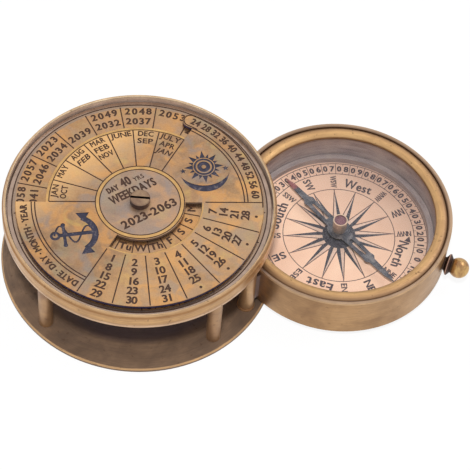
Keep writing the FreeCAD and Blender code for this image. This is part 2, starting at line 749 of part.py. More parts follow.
def make_compass_case():
    outer = size["case_radius"]
    bore = case_bore
    seat = glass_seat_radius
    bezel_bore = bezel_outer_radius
    section = [
        (ZERO, case_bottom),
        (outer, case_bottom),
        (outer, case_top),
        (bezel_bore, case_top),
        (bezel_bore, glass_top),
        (seat, glass_top),
        (seat, glass_bottom),
        (bore, glass_bottom),
        (bore, case_floor_top),
        (ZERO, case_floor_top),
    ]
    blank = turned("case_blank", section, AT_COMPASS)
    bevel_edges(blank, "case_lower_edge", [(outer, case_bottom)], size["case_edge"])
    lip_edge = smaller(size["lip_edge"], size["lip_width"] * 0.4)
    bevel_edges(blank, "case_lip", [(outer, case_top), (bezel_bore, case_top)], lip_edge)
    knob_hole = turned_on_side("knob_hole", knob_hole_section)
    pin_hole = cylinder("case_pin_hole", size["pin_spigot_radius"], size["case_floor"], AT_COMPASS, case_bottom)
    finish_node(cut("compass_case", blank, knob_hole, pin_hole), "compass_case")


def make_hinge_knuckle():
    """The barrel that turns on the hinge post, and the web that joins it to the case."""
    washer = size["thrust_washer_height"] + size["running_clearance"]
    bottom_end = base_top + washer
    top_end = deck_bottom - washer
    barrel = tube("barrel_body", barrel_radius, barrel_bore, bottom_end, top_end, AT_HINGE)
    finish_node(barrel, "hinge_barrel")
    web = doc.addObject("Part::Box", "saddle_block")
    length = size["case_clearance"] + size["pillar_radius"] + 1
    bottom = case_bottom + size["saddle_edge"]
    height = size["case_height"] - size["saddle_edge"] * 2
    for path, value in (("Length", length), ("Width", size["saddle_width"]), ("Height", height)):
        web.setExpression(path, value.text)
    half = size["saddle_width"] / 2
    x = hinge_x + half * sine(size["swing_angle"])
    y = hinge_y - half * cosine(size["swing_angle"])
    place(web, (x, y), bottom, size["swing_angle"])
    case_side = cylinder("saddle_case", size["case_radius"], height, AT_COMPASS, bottom)
    barrel_side = cylinder("saddle_barrel", barrel_radius, height, AT_HINGE, bottom)
    finish_node(cut("hinge_saddle", web, case_side, barrel_side), "hinge_saddle")


def make_card():
    """The printed card, the disc under it and the ring that holds it down."""
    spigot = size["pin_spigot_radius"]
    backing = tube("backing_body", card_radius, spigot, case_floor_top, backing_top, AT_COMPASS)
    card = tube("card_body", card_radius, spigot, backing_top, card_top, AT_COMPASS)
    ring = tube("card_ring_body", card_radius, card_ring_inner, card_top, card_ring_top, AT_COMPASS)
    finish_node(backing, "card_backing")
    finish_node(card, "compass_card")
    finish_node(ring, "card_ring")


def make_needle_post():
    foot_top = card_top + size["pin_foot_height"]
    cone_start = pin_top - size["pin_point_height"]
    section = [
        (ZERO, case_bottom),
        (size["pin_spigot_radius"], case_bottom),
        (size["pin_spigot_radius"], card_top),
        (pin_foot_radius, card_top),
        (pin_foot_radius, foot_top),
        (size["pin_radius"], foot_top),
        (size["pin_radius"], cone_start),
        (size["pin_tip_radius"], pin_top),
        (ZERO, pin_top),
    ]
    finish_node(turned("needle_post_body", section, AT_COMPASS), "needle_post")


def mirrored_outline(sketch, half_corners):
    """An outline that is even about the horizontal axis: the first and last corners may lie on it."""
    on_axis = [y is ZERO for x, y in half_corners]
    mirror = [(x, y) for (x, y), flat in zip(reversed(half_corners), reversed(on_axis)) if not flat]
    corners = half_corners + [(x, Size("-" + y.text, -y.number)) for x, y in mirror]
    closed_outline(sketch, corners)
    for i, (x, y) in enumerate(half_corners):
        hold_corner(sketch, i, 1, x, y)
    upper = [i for i, flat in enumerate(on_axis) if not flat]
    for step, i in enumerate(reversed(upper)):
        lower = len(half_corners) + step
        sketch.addConstraint(Sketcher.Constraint("Symmetric", i, 1, lower, 1, -1))


def make_needle():
    """A flat steel needle: two legs run from the hub to a spear with shoulders at each end."""
    body = new_body("needle_body")
    hub = new_sketch(body, "needle_hub", "XY_Plane")
    hub.addGeometry(Part.Circle(FreeCAD.Vector(0, 0, 0), FreeCAD.Vector(0, 0, 1),
                                needle_hub_radius.number), False)
    hub.addConstraint(Sketcher.Constraint("Coincident", 0, 3, -1, 1))
    bind(hub, "Radius", 0, needle_hub_radius)
    hub_pad = body.newObject("PartDesign::Pad", "needle_hub_pad")
    hub_pad.Profile = hub
    hub_pad.setExpression("Length", size["needle_thickness"].text)
    doc.recompute()

    arm = new_sketch(body, "needle_arm", "XY_Plane")
    shoulder = needle_reach - size["needle_spear"]
    straight = size["needle_shoulder_length"] / 2
    slope = size["needle_shoulder_slope"]
    half_corners = [
        (needle_hub_radius / 2, size["needle_root_width"] / 2),
        (shoulder - slope, size["needle_waist_width"] / 2),
        (shoulder - straight, size["needle_shoulder_width"] / 2),
        (shoulder + straight, size["needle_shoulder_width"] / 2),
        (shoulder + slope, size["needle_neck_width"] / 2),
        (needle_reach - size["needle_point_length"], size["needle_point_width"] / 2),
        (needle_reach, ZERO),
    ]
    mirrored_outline(arm, half_corners)
    arm_pad = body.newObject("PartDesign::Pad", "needle_arm_pad")
    arm_pad.Profile = arm
    arm_pad.setExpression("Length", size["needle_thickness"].text)
    doc.recompute()

    opening = new_sketch(body, "needle_opening", "XY_Plane")
    opening_start = needle_hub_radius + size["needle_slot_root"]
    opening_end = shoulder - size["needle_slot_stop"]
    quarter_start = size["needle_slot_width"] / 4
    quarter_end = size["needle_slot_end_width"] / 4
    mirrored_outline(opening, [
        (opening_start, quarter_start),
        (opening_start + quarter_start, size["needle_slot_width"] / 2),
        (opening_end - quarter_end, size["needle_slot_end_width"] / 2),
        (opening_end, quarter_end),
    ])
    pierce = body.newObject("PartDesign::Pocket", "needle_pierce")
    pierce.Profile = opening
    pierce.Type = "ThroughAll"
    pierce.Midplane = True
    doc.recompute()

    pair = body.newObject("PartDesign::PolarPattern", "needle_pair")
    pair.Originals = [arm_pad, pierce]
    pair.Axis = (hub, ["N_Axis"])
    pair.Angle = 360
    pair.Occurrences = 2
    body.Tip = pair
    doc.recompute()

    bore = new_sketch(body, "needle_bore", "XY_Plane")
    bore.addGeometry(Part.Circle(FreeCAD.Vector(0, 0, 0), FreeCAD.Vector(0, 0, 1),
                                 cap_spigot_radius.number), False)
    bore.addConstraint(Sketcher.Constraint("Coincident", 0, 3, -1, 1))
    bind(bore, "Radius", 0, cap_spigot_radius)
    drill = body.newObject("PartDesign::Pocket", "needle_drill")
    drill.Profile = bore
    drill.Type = "ThroughAll"
    drill.Midplane = True
    place(body, AT_COMPASS, needle_bottom, size["needle_angle"])
    doc.recompute()
    finish_node(body, "compass_needle")


def make_needle_cap():
    """The turned cap on the needle's hub, with its bearing jewel."""
    outer = cap_radius
    bore = size["cap_bore"]
    step_top = needle_top + size["cap_step_height"]
    foot = outer - size["cap_step"]
    section = [
        (bore, needle_bottom - size["cap_spigot_height"]),
        (cap_spigot_radius, needle_bottom - size["cap_spigot_height"]),
        (cap_spigot_radius, needle_top),
        (foot, needle_top),
        (foot, step_top),
        (outer, step_top),
        (outer, cap_top),
        (outer - size["cap_rim_width"], cap_top),
        (outer - size["cap_rim_width"], cap_top - size["cap_rim_depth"]),
        (ZERO, cap_top - size["cap_rim_depth"]),
        (ZERO, jewel_top),
        (bore, jewel_top),
    ]
    finish_node(turned("needle_cap_body", section, AT_COMPASS), "needle_cap")
    jewel = [
        (size["jewel_cone_radius"], jewel_bottom),
        (bore, jewel_bottom),
        (bore, jewel_top),
        (ZERO, jewel_top),
        (ZERO, jewel_bottom + size["jewel_cone_depth"]),
    ]
    finish_node(turned("cap_jewel_body", jewel, AT_COMPASS), "cap_jewel")


def make_glass_and_bezel():
    glass = [(ZERO, glass_bottom), (glass_radius, glass_bottom), (glass_radius, glass_top), (ZERO, glass_top)]
    finish_node(turned("glass_body", glass, AT_COMPASS), "compass_glass")
    outer = bezel_outer_radius
    inner = bezel_inner_radius
    groove = case_top - size["bezel_outer_drop"]
    crown_end = outer - size["bezel_outer_slope"]
    crown_start = crown_end - size["bezel_crown"]
    inner_edge = glass_top + size["bezel_inner_height"]
    swell = size["bezel_swell"]
    section = [
        (inner, glass_top),
        (outer, glass_top),
        (outer, groove),
        ((outer + crown_end) / 2, (groove + case_top) / 2 + swell),
        (crown_end, case_top),
        (crown_start, case_top),
        ((inner + crown_start) / 2, (inner_edge + case_top) / 2 + swell),
        (inner, inner_edge),
    ]
    finish_node(turned("bezel_body", section, AT_COMPASS), "compass_bezel")


def make_knob():
    finish_node(turned_on_side("knob_body", knob_section), "pull_knob")


def check_everything():
    """Stops if any object of the document failed, or a piece has no sound solid."""
    for item in doc.Objects:
        failed = [state for state in item.State if state in ("Invalid", "Error")]
        if failed:
            raise RuntimeError("%s failed: %s" % (item.Name, failed))
    for item in nodes:
        shape = item.Shape
        if shape.isNull() or not shape.isValid() or not shape.Solids:
            raise RuntimeError("%s has no sound solid" % item.Label)


def write_parts():
    os.makedirs("parts", exist_ok=True)
    for item in nodes:
        item.Shape.exportStep("parts/%s.step" % item.Label)
        print("%-22s %d solid(s) %10.1f mm3" % (item.Label, len(item.Shape.Solids), item.Shape.Volume))


make_base_plate()
make_pillars()
make_base_screws()
make_deck_screws()
make_hinge_post()
make_thrust_washers()
make_calendar_housing()
make_dial_bearing()
make_year_disc()
make_face_plate()
make_compass_case()
make_hinge_knuckle()
make_card()
make_needle_post()
make_needle()
make_needle_cap()
make_glass_and_bezel()
make_knob()
doc.recompute()
check_everything()
write_parts()
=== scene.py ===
import math
from datetime import date

import bmesh
import bpy
from mathutils import Matrix, Vector
from mathutils.geometry import delaunay_2d_cdt


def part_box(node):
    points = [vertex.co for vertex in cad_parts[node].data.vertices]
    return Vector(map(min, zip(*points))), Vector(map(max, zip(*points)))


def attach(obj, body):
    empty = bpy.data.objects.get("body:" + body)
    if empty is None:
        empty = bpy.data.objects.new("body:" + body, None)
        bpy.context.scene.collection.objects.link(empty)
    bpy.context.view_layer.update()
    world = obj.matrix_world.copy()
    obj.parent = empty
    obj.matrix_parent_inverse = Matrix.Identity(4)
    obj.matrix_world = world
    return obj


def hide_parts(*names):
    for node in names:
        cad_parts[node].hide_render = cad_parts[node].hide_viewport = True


# Looks of a desk calendar with a compass that swings out from under it.
# Lengths are in millimetres, apart from those of the stage and its lamps, which are in metres.

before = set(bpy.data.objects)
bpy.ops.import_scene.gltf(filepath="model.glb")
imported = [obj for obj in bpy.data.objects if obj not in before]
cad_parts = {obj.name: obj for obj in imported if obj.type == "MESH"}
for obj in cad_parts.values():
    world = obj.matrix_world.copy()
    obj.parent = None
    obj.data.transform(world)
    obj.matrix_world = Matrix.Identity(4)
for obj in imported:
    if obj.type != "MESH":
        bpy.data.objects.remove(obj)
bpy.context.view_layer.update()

MM = 0.001

# The photograph's view, found from the outlines of the two round cases, in millimetres and degrees.
CAMERA_PLACE = (26.98, -321.71, 475.03)
CAMERA_PITCH = 55.04
CAMERA_ROLL = 5.55
CAMERA_LENS = 153.19
SENSOR = 36.0

# Directions on the dials, in degrees from +X.
PLATE_TURN = 36.43
YEAR_PHASE = 4.8
CARD_NORTH = -14.8
KNOB_ANGLE = 344.5
NEEDLE_ANGLE = 135.3

# Each dial's scale has seven cells on 120 degrees.
CELLS = 7
CELL = 120 / CELLS


def centre_of(node):
    """In metres, as coordinates in the materials are."""
    low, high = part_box(node)
    return (low + high) / 2


def top_of(node):
    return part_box(node)[1].z / MM


def bottom_of(node):
    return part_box(node)[0].z / MM


def radius_of(node):
    low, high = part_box(node)
    return (high.x - low.x) / 2 / MM


def add_object(name, data):
    made = bpy.data.objects.new(name, data)
    bpy.context.scene.collection.objects.link(made)
    return made


CALENDAR = centre_of("year_disc")
COMPASS = centre_of("compass_card")


# Outlines on a plane are lists of (x, y) in millimetres.

def polar(radius, angle):
    turn = math.radians(angle)
    return (radius * math.cos(turn), radius * math.sin(turn))


ARC_STEP = 2.0


def arc(radius, start, end, parts=0):
    """Points along an arc, in the given number of parts or in steps of about two degrees."""
    parts = parts or max(1, math.ceil(abs(end - start) / ARC_STEP))
    return [polar(radius, start + (end - start) * i / parts) for i in range(parts + 1)]


def longer_arc(radius, start, end, gap, parts=80):
    """An arc that goes on beyond both its ends by the length gap."""
    more = math.copysign(math.degrees(gap / radius), gap * (end - start))
    return arc(radius, start - more, end + more, parts)


def circle(radius, count, centre=(0, 0)):
    return [(centre[0] + x, centre[1] + y) for x, y in arc(radius, 0, 360, count)[:-1]]


RING_PARTS = 240


def ring(inner, outer):
    return [circle(outer, RING_PARTS), circle(inner, RING_PARTS)]


def ring_line(radius, width):
    return ring(radius - width / 2, radius + width / 2)


def band(inner, outer, start, end):
    """Part of a flat ring."""
    return [arc(outer, start, end) + arc(inner, end, start)]


def arc_line(radius, start, end, width):
    return band(radius - width / 2, radius + width / 2, start, end)


def bar(start, end, width):
    """A straight stroke between two points."""
    (x0, y0), (x1, y1) = start, end
    length = math.hypot(x1 - x0, y1 - y0)
    ax, ay = -(y1 - y0) / length * width / 2, (x1 - x0) / length * width / 2
    return [[(x0 + ax, y0 + ay), (x1 + ax, y1 + ay), (x1 - ax, y1 - ay), (x0 - ax, y0 - ay)]]


def ray_line(angle, inner, outer, width):
    return bar(polar(inner, angle), polar(outer, angle), width)


def moved(loops, x=0.0, y=0.0, turn=0.0, scale=1.0):
    c = math.cos(math.radians(turn)) * scale
    s = math.sin(math.radians(turn)) * scale
    return [[(x + px * c - py * s, y + px * s + py * c) for px, py in loop] for loop in loops]


# Lettering is taken from the built-in font, glyph by glyph.

FONT_STEPS = 3
SAME_POINT = 1e-4
glyph_cache = {}


def edges(loop):
    """Every point of a closed loop, with the next one."""
    return zip(loop, loop[1:] + loop[:1])


def bezier_points(spline):
    """The spline as a closed polygon."""
    points = []
    for first, second in edges(list(spline.bezier_points)):
        straight = (first.handle_right - first.co).length + (second.handle_left - second.co).length
        steps = FONT_STEPS if straight > SAME_POINT and first.handle_right_type != "VECTOR" else 1
        a, b, c, d = first.co, first.handle_right, second.handle_left, second.co
        for k in range(steps):
            t = k / steps
            p = a * (1 - t) ** 3 + b * 3 * t * (1 - t) ** 2 + c * 3 * t * t * (1 - t) + d * t ** 3
            if not points or math.dist(points[-1], (p.x, p.y)) > SAME_POINT:
                points.append((p.x, p.y))
    return points


def glyph(letter):
    """The letter's closed loops, with its ink starting at x = 0, and its ink width, for a font size of 1."""
    if letter not in glyph_cache:
        font = bpy.data.curves.new("letter", "FONT")
        font.body = letter
        holder = add_object("letter", font)
        graph = bpy.context.evaluated_depsgraph_get()
        shown = holder.evaluated_get(graph)
        loops = [bezier_points(spline) for spline in shown.to_curve(graph).splines]
        shown.to_curve_clear()
        bpy.data.objects.remove(holder)
        bpy.data.curves.remove(font)
        left = min(x for loop in loops for x, y in loop)
        width = max(x for loop in loops for x, y in loop) - left
        glyph_cache[letter] = ([[(x - left, y) for x, y in loop] for loop in loops], width)
    return glyph_cache[letter]


CAP_HEIGHT = 0.682
SPACE_WIDTH = 0.28
LETTER_GAP = 0.13
MITRE_LIMIT = 1.6
PARALLEL = 1e-12
FOLDED = 0.3


def twice_area(loop):
    return sum(x0 * y1 - x1 * y0 for (x0, y0), (x1, y1) in edges(loop))


def direction(start, end):
    length = math.dist(start, end) or 1.0
    return ((end[0] - start[0]) / length, (end[1] - start[1]) / length)


def grown(loop, across, up):
    """Every corner moved outwards, the way that the edges beside it face."""
    points = []
    for i, here in enumerate(loop):
        ax, ay = direction(loop[i - 1], here)
        bx, by = direction(here, loop[(i + 1) % len(loop)])
        nx, ny = ay + by, -(ax + bx)
        length = math.hypot(nx, ny) or 1.0
        reach = min(MITRE_LIMIT, 2 / length) / length
        points.append((here[0] + nx * reach * across, here[1] + ny * reach * up))
    return points


def cross_product(a, b, c, d):
    """Of the way from a to b and the way from c to d."""
    return (b[0] - a[0]) * (d[1] - c[1]) - (b[1] - a[1]) * (d[0] - c[0])


def crossing(a, b, c, d):
    """Where the edge from a to b crosses the one from c to d, or None."""
    turn = cross_product(a, b, c, d)
    if abs(turn) < PARALLEL:
        return None
    share = cross_product(a, c, c, d) / turn
    if 0 < share < 1 and 0 < cross_product(a, c, a, b) / turn < 1:
        return (a[0] + (b[0] - a[0]) * share, a[1] + (b[1] - a[1]) * share)
    return None


def untangled(loop):
    """Cuts off the small twist where an outline crosses itself."""
    count = len(loop)
    for i in range(count):
        for k in range(i + 2, count):
            meeting = crossing(loop[i], loop[i + 1], loop[k], loop[(k + 1) % count])
            if meeting:
                inner = loop[i + 1:k + 1] + [meeting]
                outer = loop[:i + 1] + [meeting] + loop[k + 1:]
                return untangled(max(inner, outer, key=len))
    return loop


def thicken(loops, across, up):
    """Moves a letter's outlines outwards, sideways and upwards by these lengths, to widen its strokes.
    An edge that would turn back on itself is closed up first."""
    side = 1 if sum(twice_area(loop) for loop in loops) > 0 else -1
    wider = []
    for loop in loops:
        i = 0
        points = grown(loop, across * side, up * side)
        while i < len(loop) and len(loop) > 3:
            k = (i + 1) % len(loop)
            (ax, ay), (bx, by) = direction(loop[i], loop[k]), direction(points[i], points[k])
            if ax * bx + ay * by > FOLDED:
                i += 1
                continue
            middle = ((loop[i][0] + loop[k][0]) / 2, (loop[i][1] + loop[k][1]) / 2)
            loop = [middle if n == i else point for n, point in enumerate(loop) if n != k]
            points = grown(loop, across * side, up * side)
            i = 0
        wider.append(untangled(points))
    return wider


# How a line is set: weight is the length by which outlines grow, as (sideways, upwards).
DIAL_WEIGHT = (0.14, 0.1)
BOLD = (0.16, 0.12)
SMALL = (0.09, 0.07)
LIGHT = (0.05, 0.04)


def line_of_text(text, height, width=None, pitch=None, slant=0.0, weight=DIAL_WEIGHT):
    """Loops of a word centred on the origin, in millimetres: its cap height and either its overall width
    or the distance from one letter's middle to the next."""
    scale = (height - 2 * weight[1]) / CAP_HEIGHT
    inks = [glyph(letter)[1] for letter in text]
    if pitch:
        across = scale
        starts = [(i - (len(text) - 1) / 2) * pitch - ink * across / 2 for i, ink in enumerate(inks)]
    else:
        total = sum(inks) + LETTER_GAP * (len(text) - 1)
        across = (width - 2 * weight[0]) / total if width else scale
        starts = []
        cursor = -total / 2
        for ink in inks:
            starts.append(cursor * across)
            cursor += ink + LETTER_GAP
    marks = []
    for letter, start in zip(text, starts):
        loops = []
        for loop in glyph(letter)[0]:
            heights = [(y - CAP_HEIGHT / 2) * scale for _, y in loop]
            loops.append([(start + x * across + up * slant, up) for (x, _), up in zip(loop, heights)])
        marks.append(thicken(loops, *weight))
    return marks


# How a word stands at its place on a dial, as its turn from the direction away from the centre: with its
# tops outwards or inwards, or along the radius, read outwards or inwards.
TOPS_OUT = -90
TOPS_IN = 90
READ_OUT = 0
READ_IN = 180


def text_at(text, radius, angle, height, width=None, turn=TOPS_OUT, **setting):
    """A word at a place on a dial."""
    place = polar(radius, angle)
    return [moved(mark, *place, angle + turn) for mark in line_of_text(text, height, width, **setting)]


def text_on_arc(text, radius, angle, height, width):
    """A line bent along a circle, clockwise, letter by letter."""
    inks = [SPACE_WIDTH if letter == " " else glyph(letter)[1] + LETTER_GAP for letter in text]
    total = sum(inks)
    marks = []
    cursor = 0.0
    for letter, ink in zip(text, inks):
        if letter != " ":
            middle = (cursor + ink / 2) / total - 0.5
            at = angle - math.degrees(middle * width / radius)
            letter_width = glyph(letter)[1] / total * width + 2 * DIAL_WEIGHT[0]
            marks += text_at(letter, radius, at, height, letter_width)
        cursor += ink
    return marks


# Flat regions: marks are lists of closed loops, and a point is inside a mark where an odd number cover it.

def anticlockwise(loop):
    return loop if twice_area(loop) > 0 else loop[::-1]


NEAR = 1e-6


def flat_faces(groups):
    """Cuts the plane along every loop. Returns the points and, for each triangle, the groups that hold it."""
    points = []
    faces = []
    owners = []
    for number, loops in enumerate(groups):
        for loop in loops:
            first = len(points)
            points += [Vector(point) for point in anticlockwise(loop)]
            faces.append(list(range(first, first + len(loop))))
            owners.append(number)
    out_points, _, out_faces, _, _, origins = delaunay_2d_cdt(points, [], faces, 1, NEAR)
    held = []
    for origin in origins:
        count = {}
        for face in origin:
            count[owners[face]] = count.get(owners[face], 0) + 1
        held.append({owner for owner, times in count.items() if times % 2})
    return out_points, out_faces, held


def edges_of(faces, numbers):
    """Every edge of the faces with these numbers, and which of them are beside it."""
    sides = {}
    for number in numbers:
        for a, b in edges(faces[number]):
            sides.setdefault((min(a, b), max(a, b)), []).append(number)
    return sides.items()


SHARP_ANGLE = math.radians(28)
SAME_CORNER = 1e-5


def new_piece(name, solid, materials):
    """Turns a solid in millimetres into an object in metres, smooth but for its sharp edges."""
    bmesh.ops.remove_doubles(solid, verts=solid.verts, dist=SAME_CORNER)
    bmesh.ops.dissolve_degenerate(solid, edges=solid.edges, dist=NEAR)
    bmesh.ops.recalc_face_normals(solid, faces=solid.faces)
    for face in solid.faces:
        face.smooth = True
    for edge in solid.edges:
        edge.smooth = edge.calc_face_angle(math.pi) < SHARP_ANGLE
    bmesh.ops.scale(solid, vec=(MM, MM, MM), verts=solid.verts)
    mesh = bpy.data.meshes.new(name)
    solid.to_mesh(mesh)
    solid.free()
    for material in materials:
        mesh.materials.append(material)
    return add_object(name, mesh)


def add_face(solid, corners, material):
    face = solid.faces.new([solid.verts.new(corner) for corner in corners])
    face.material_index = material


def add_side(solid, start, end, high, low, material):
    """An upright face under the line between two points."""
    add_face(solid, [(*start, high), (*end, high), (*end, low), (*start, low)], material)


def add_wall(solid, first, second, material):
    """A closed strip between two loops of 3-D points with the same count."""
    for (a, b), (d, c) in zip(edges(first), edges(second)):
        add_face(solid, [a, b, c, d], material)


def engraved_solid(name, rims, cuts, tints, levels, materials):
    """A flat plate with sunk marks. rims holds, for each outline, itself a chamfer further in, the outline
    and the material of its side; cuts are (loops, material of the floor); tints are (loops, material of the
    surface); levels are bottom, chamfer, floor and top."""
    bottom, edge, floor, top = levels
    solid = bmesh.new()
    marks = cuts + tints
    plate = len(marks)
    points, faces, held = flat_faces([loops for loops, _ in marks] + [[upper for upper, _, _ in rims]])
    sunk = {}
    shown = {}
    for number, owners in enumerate(held):
        if plate in owners:
            first = min(owners)
            level = sunk if first < len(cuts) else shown
            level[number] = marks[first][1] if first < plate else 0
    for number, material in (*sunk.items(), *shown.items()):
        level = floor if number in sunk else top
        add_face(solid, [(*points[i], level) for i in faces[number]], material)
    for (a, b), owners in edges_of(faces, (*sunk, *shown)):
        if len(owners) == 2 and (owners[0] in sunk) != (owners[1] in sunk):
            material = sunk.get(owners[0], sunk.get(owners[1]))
            add_side(solid, points[a], points[b], top, floor, material)
    for upper, lower, wall in rims:
        high = [(x, y, top) for x, y in upper]
        shoulder = [(x, y, edge) for x, y in lower]
        low = [(x, y, bottom) for x, y in lower]
        add_wall(solid, high, shoulder, 0)
        add_wall(solid, shoulder, low, wall)
    points, faces, held = flat_faces([[lower for _, lower, _ in rims]])
    for face, owners in zip(faces, held):
        if owners:
            add_face(solid, [(*points[i], bottom) for i in face], 0)
    return new_piece(name, solid, materials)


def printed_sheet(name, inks, bottom, top, materials):
    """Ink as one thin raised sheet. inks are (loops, material), and the first one printed covers the rest."""
    solid = bmesh.new()
    points, faces, held = flat_faces([loops for loops, _ in inks])
    inked = [number for number, owners in enumerate(held) if owners]
    for number in inked:
        face = faces[number]
        add_face(solid, [(*points[i], top) for i in face], inks[min(held[number])][1])
        add_face(solid, [(*points[i], bottom) for i in reversed(face)], 0)
    for (a, b), owners in edges_of(faces, inked):
        if len(owners) == 1:
            add_side(solid, points[a], points[b], top, bottom, 0)
    return new_piece(name, solid, materials)


def rounded(profile, rounds=2):
    """Cuts the corners of an open profile, so that it turns on the lathe as a smooth form."""
    for _ in range(rounds):
        cut = [profile[0]]
        for (r0, z0), (r1, z1) in zip(profile, profile[1:]):
            cut.append((r0 * 0.75 + r1 * 0.25, z0 * 0.75 + z1 * 0.25))
            cut.append((r0 * 0.25 + r1 * 0.75, z0 * 0.25 + z1 * 0.75))
        cut.append(profile[-1])
        profile = cut
    return profile


LATHE_PARTS = 192


def turned_piece(name, centre, profile, material):
    """A solid ring on the lathe: profile is a closed line of (radius, level) in millimetres."""
    solid = bmesh.new()
    x, y = centre.x / MM, centre.y / MM
    rings = []
    for radius, level in profile:
        rings.append([(x + px, y + py, level) for px, py in circle(radius, LATHE_PARTS)])
    for first, second in edges(rings):
        add_wall(solid, first, second, 0)
    return new_piece(name, solid, [material])


# Colours are written as they look on screen: (red, green, blue), each from 0 to 255.

WHITE = (255, 255, 255)
BUMP_DISTANCE = 0.00003


def linear(value):
    """What a colour socket takes: the linear channels of a screen colour, or of a plain number that grey."""
    if not isinstance(value, tuple):
        return (value, value, value, 1.0)
    channels = []
    for channel in value:
        share = channel / 255
        channels.append(share / 12.92 if share <= 0.04045 else ((share + 0.055) / 1.055) ** 2.4)
    return (*channels, 1.0)


class Shader:
    """The nodes of one material, or of the world."""

    def __init__(self, name, kind="materials", output="OutputMaterial"):
        self.owner = getattr(bpy.data, kind).new(name)
        self.owner.use_nodes = True
        self.tree = self.owner.node_tree
        self.tree.nodes.clear()
        self.output = self.node(output)

    def node(self, kind, *values, **inputs):
        """A new node. Values go to its first inputs in their order, and the rest go by name."""
        made = self.tree.nodes.new("ShaderNode" + kind)
        for socket, value in zip(made.inputs, values):
            self.put(socket, value)
        for key, value in inputs.items():
            self.put(made.inputs[key.replace("_", " ")], value)
        return made

    def put(self, socket, value):
        if isinstance(value, bpy.types.NodeSocket):
            self.tree.links.new(value, socket)
        else:
            socket.default_value = linear(value) if socket.type == "RGBA" else value

    def maths(self, operation, *values):
        made = self.node("Math", *values)
        made.operation = operation
        return made.outputs[0]

    def place(self, centre):
        """Object coordinates measured from a point."""
        here = self.node("TexCoord").outputs["Object"]
        return self.node("Mapping", here, [-value for value in centre]).outputs[0]

    def split(self, centre):
        """x, y and z measured from a point."""
        return self.node("SeparateXYZ", self.place(centre)).outputs

    def noise(self, place, scale, detail, roughness, distortion=0.0):
        """A noise round a point, or over coordinates of its own."""
        if not isinstance(place, bpy.types.NodeSocket):
            place = self.place(place)
        made = self.node("TexNoise", Vector=place, Scale=scale, Detail=detail, Roughness=roughness,
                         Distortion=distortion)
        return made.outputs["Fac"]

    def ramp(self, factor, *stops):
        """Colours, or numbers, that follow a factor from 0 to 1."""
        made = self.node("ValToRGB", factor)
        elements = made.color_ramp.elements
        while len(elements) < len(stops):
            elements.new(1.0)
        for element, (position, value) in zip(elements, stops):
            element.position = position
            element.color = linear(value)
        return made.outputs["Color"]

    def mix(self, factor, first, second):
        made = self.node("Mix", factor)
        made.data_type = "RGBA"
        self.put(made.inputs[6], first)
        self.put(made.inputs[7], second)
        return made.outputs[2]

    def bump(self, height, strength):
        return self.node("Bump", Height=height, Strength=strength, Distance=BUMP_DISTANCE).outputs[0]

    def sum_of(self, a, b, c, d):
        """a times b, plus c times d."""
        return self.maths("ADD", self.maths("MULTIPLY", a, b), self.maths("MULTIPLY", c, d))

    def distance(self, x, y):
        return self.maths("SQRT", self.sum_of(x, x, y, y))

    def turned_place(self, centre, around=0.002):
        """Coordinates that change with radius and height and hardly round the axis, as on lathe work."""
        x, y, z = self.split(centre)
        turn = self.maths("MULTIPLY", self.maths("ARCTAN2", y, x), around)
        return self.node("CombineXYZ", self.distance(x, y), turn, z).outputs[0]

    def lathe_place(self, centre):
        """Distance from an upright axis and height above the floor, both in millimetres."""
        x, y, z = self.split((centre[0], centre[1], 0))
        return self.maths("DIVIDE", self.distance(x, y), MM), self.maths("DIVIDE", z, MM)

    def along(self, centre, angle):
        """Distance from a point in a level direction, in millimetres."""
        x, y, _ = self.split(centre)
        dx, dy = polar(1 / MM, angle)
        return self.sum_of(x, dx, y, dy)

    def bands(self, length, *stops):
        """Colours, or numbers, that follow a length in millimetres."""
        low, high = stops[0][0], stops[-1][0]
        share = self.maths("DIVIDE", self.maths("SUBTRACT", length, low), high - low)
        return self.ramp(share, *[((stop - low) / (high - low), value) for stop, value in stops])

    def seen(self):
        """1 for what the camera sees, directly, mirrored or through glass, and 0 for light on its way."""
        rays = self.node("LightPath").outputs
        indirect = self.maths("MAXIMUM", rays["Is Glossy Ray"], rays["Is Transmission Ray"])
        return self.maths("MAXIMUM", rays["Is Camera Ray"], indirect)

    def show(self, shader):
        """Puts a shader on the surface and returns the finished material or world."""
        self.tree.links.new(shader.outputs[0], self.output.inputs["Surface"])
        return self.owner

    def finish(self, **inputs):
        return self.show(self.node("BsdfPrincipled", **inputs))

    def blend(self, factor, first, second):
        """Finishes with a mix of two shaders."""
        return self.show(self.node("MixShader", factor, first.outputs[0], second.outputs[0]))


GLOW_DIRECTION = PLATE_TURN + 100
RING_START = 34.4
RING_FULL = 34.45


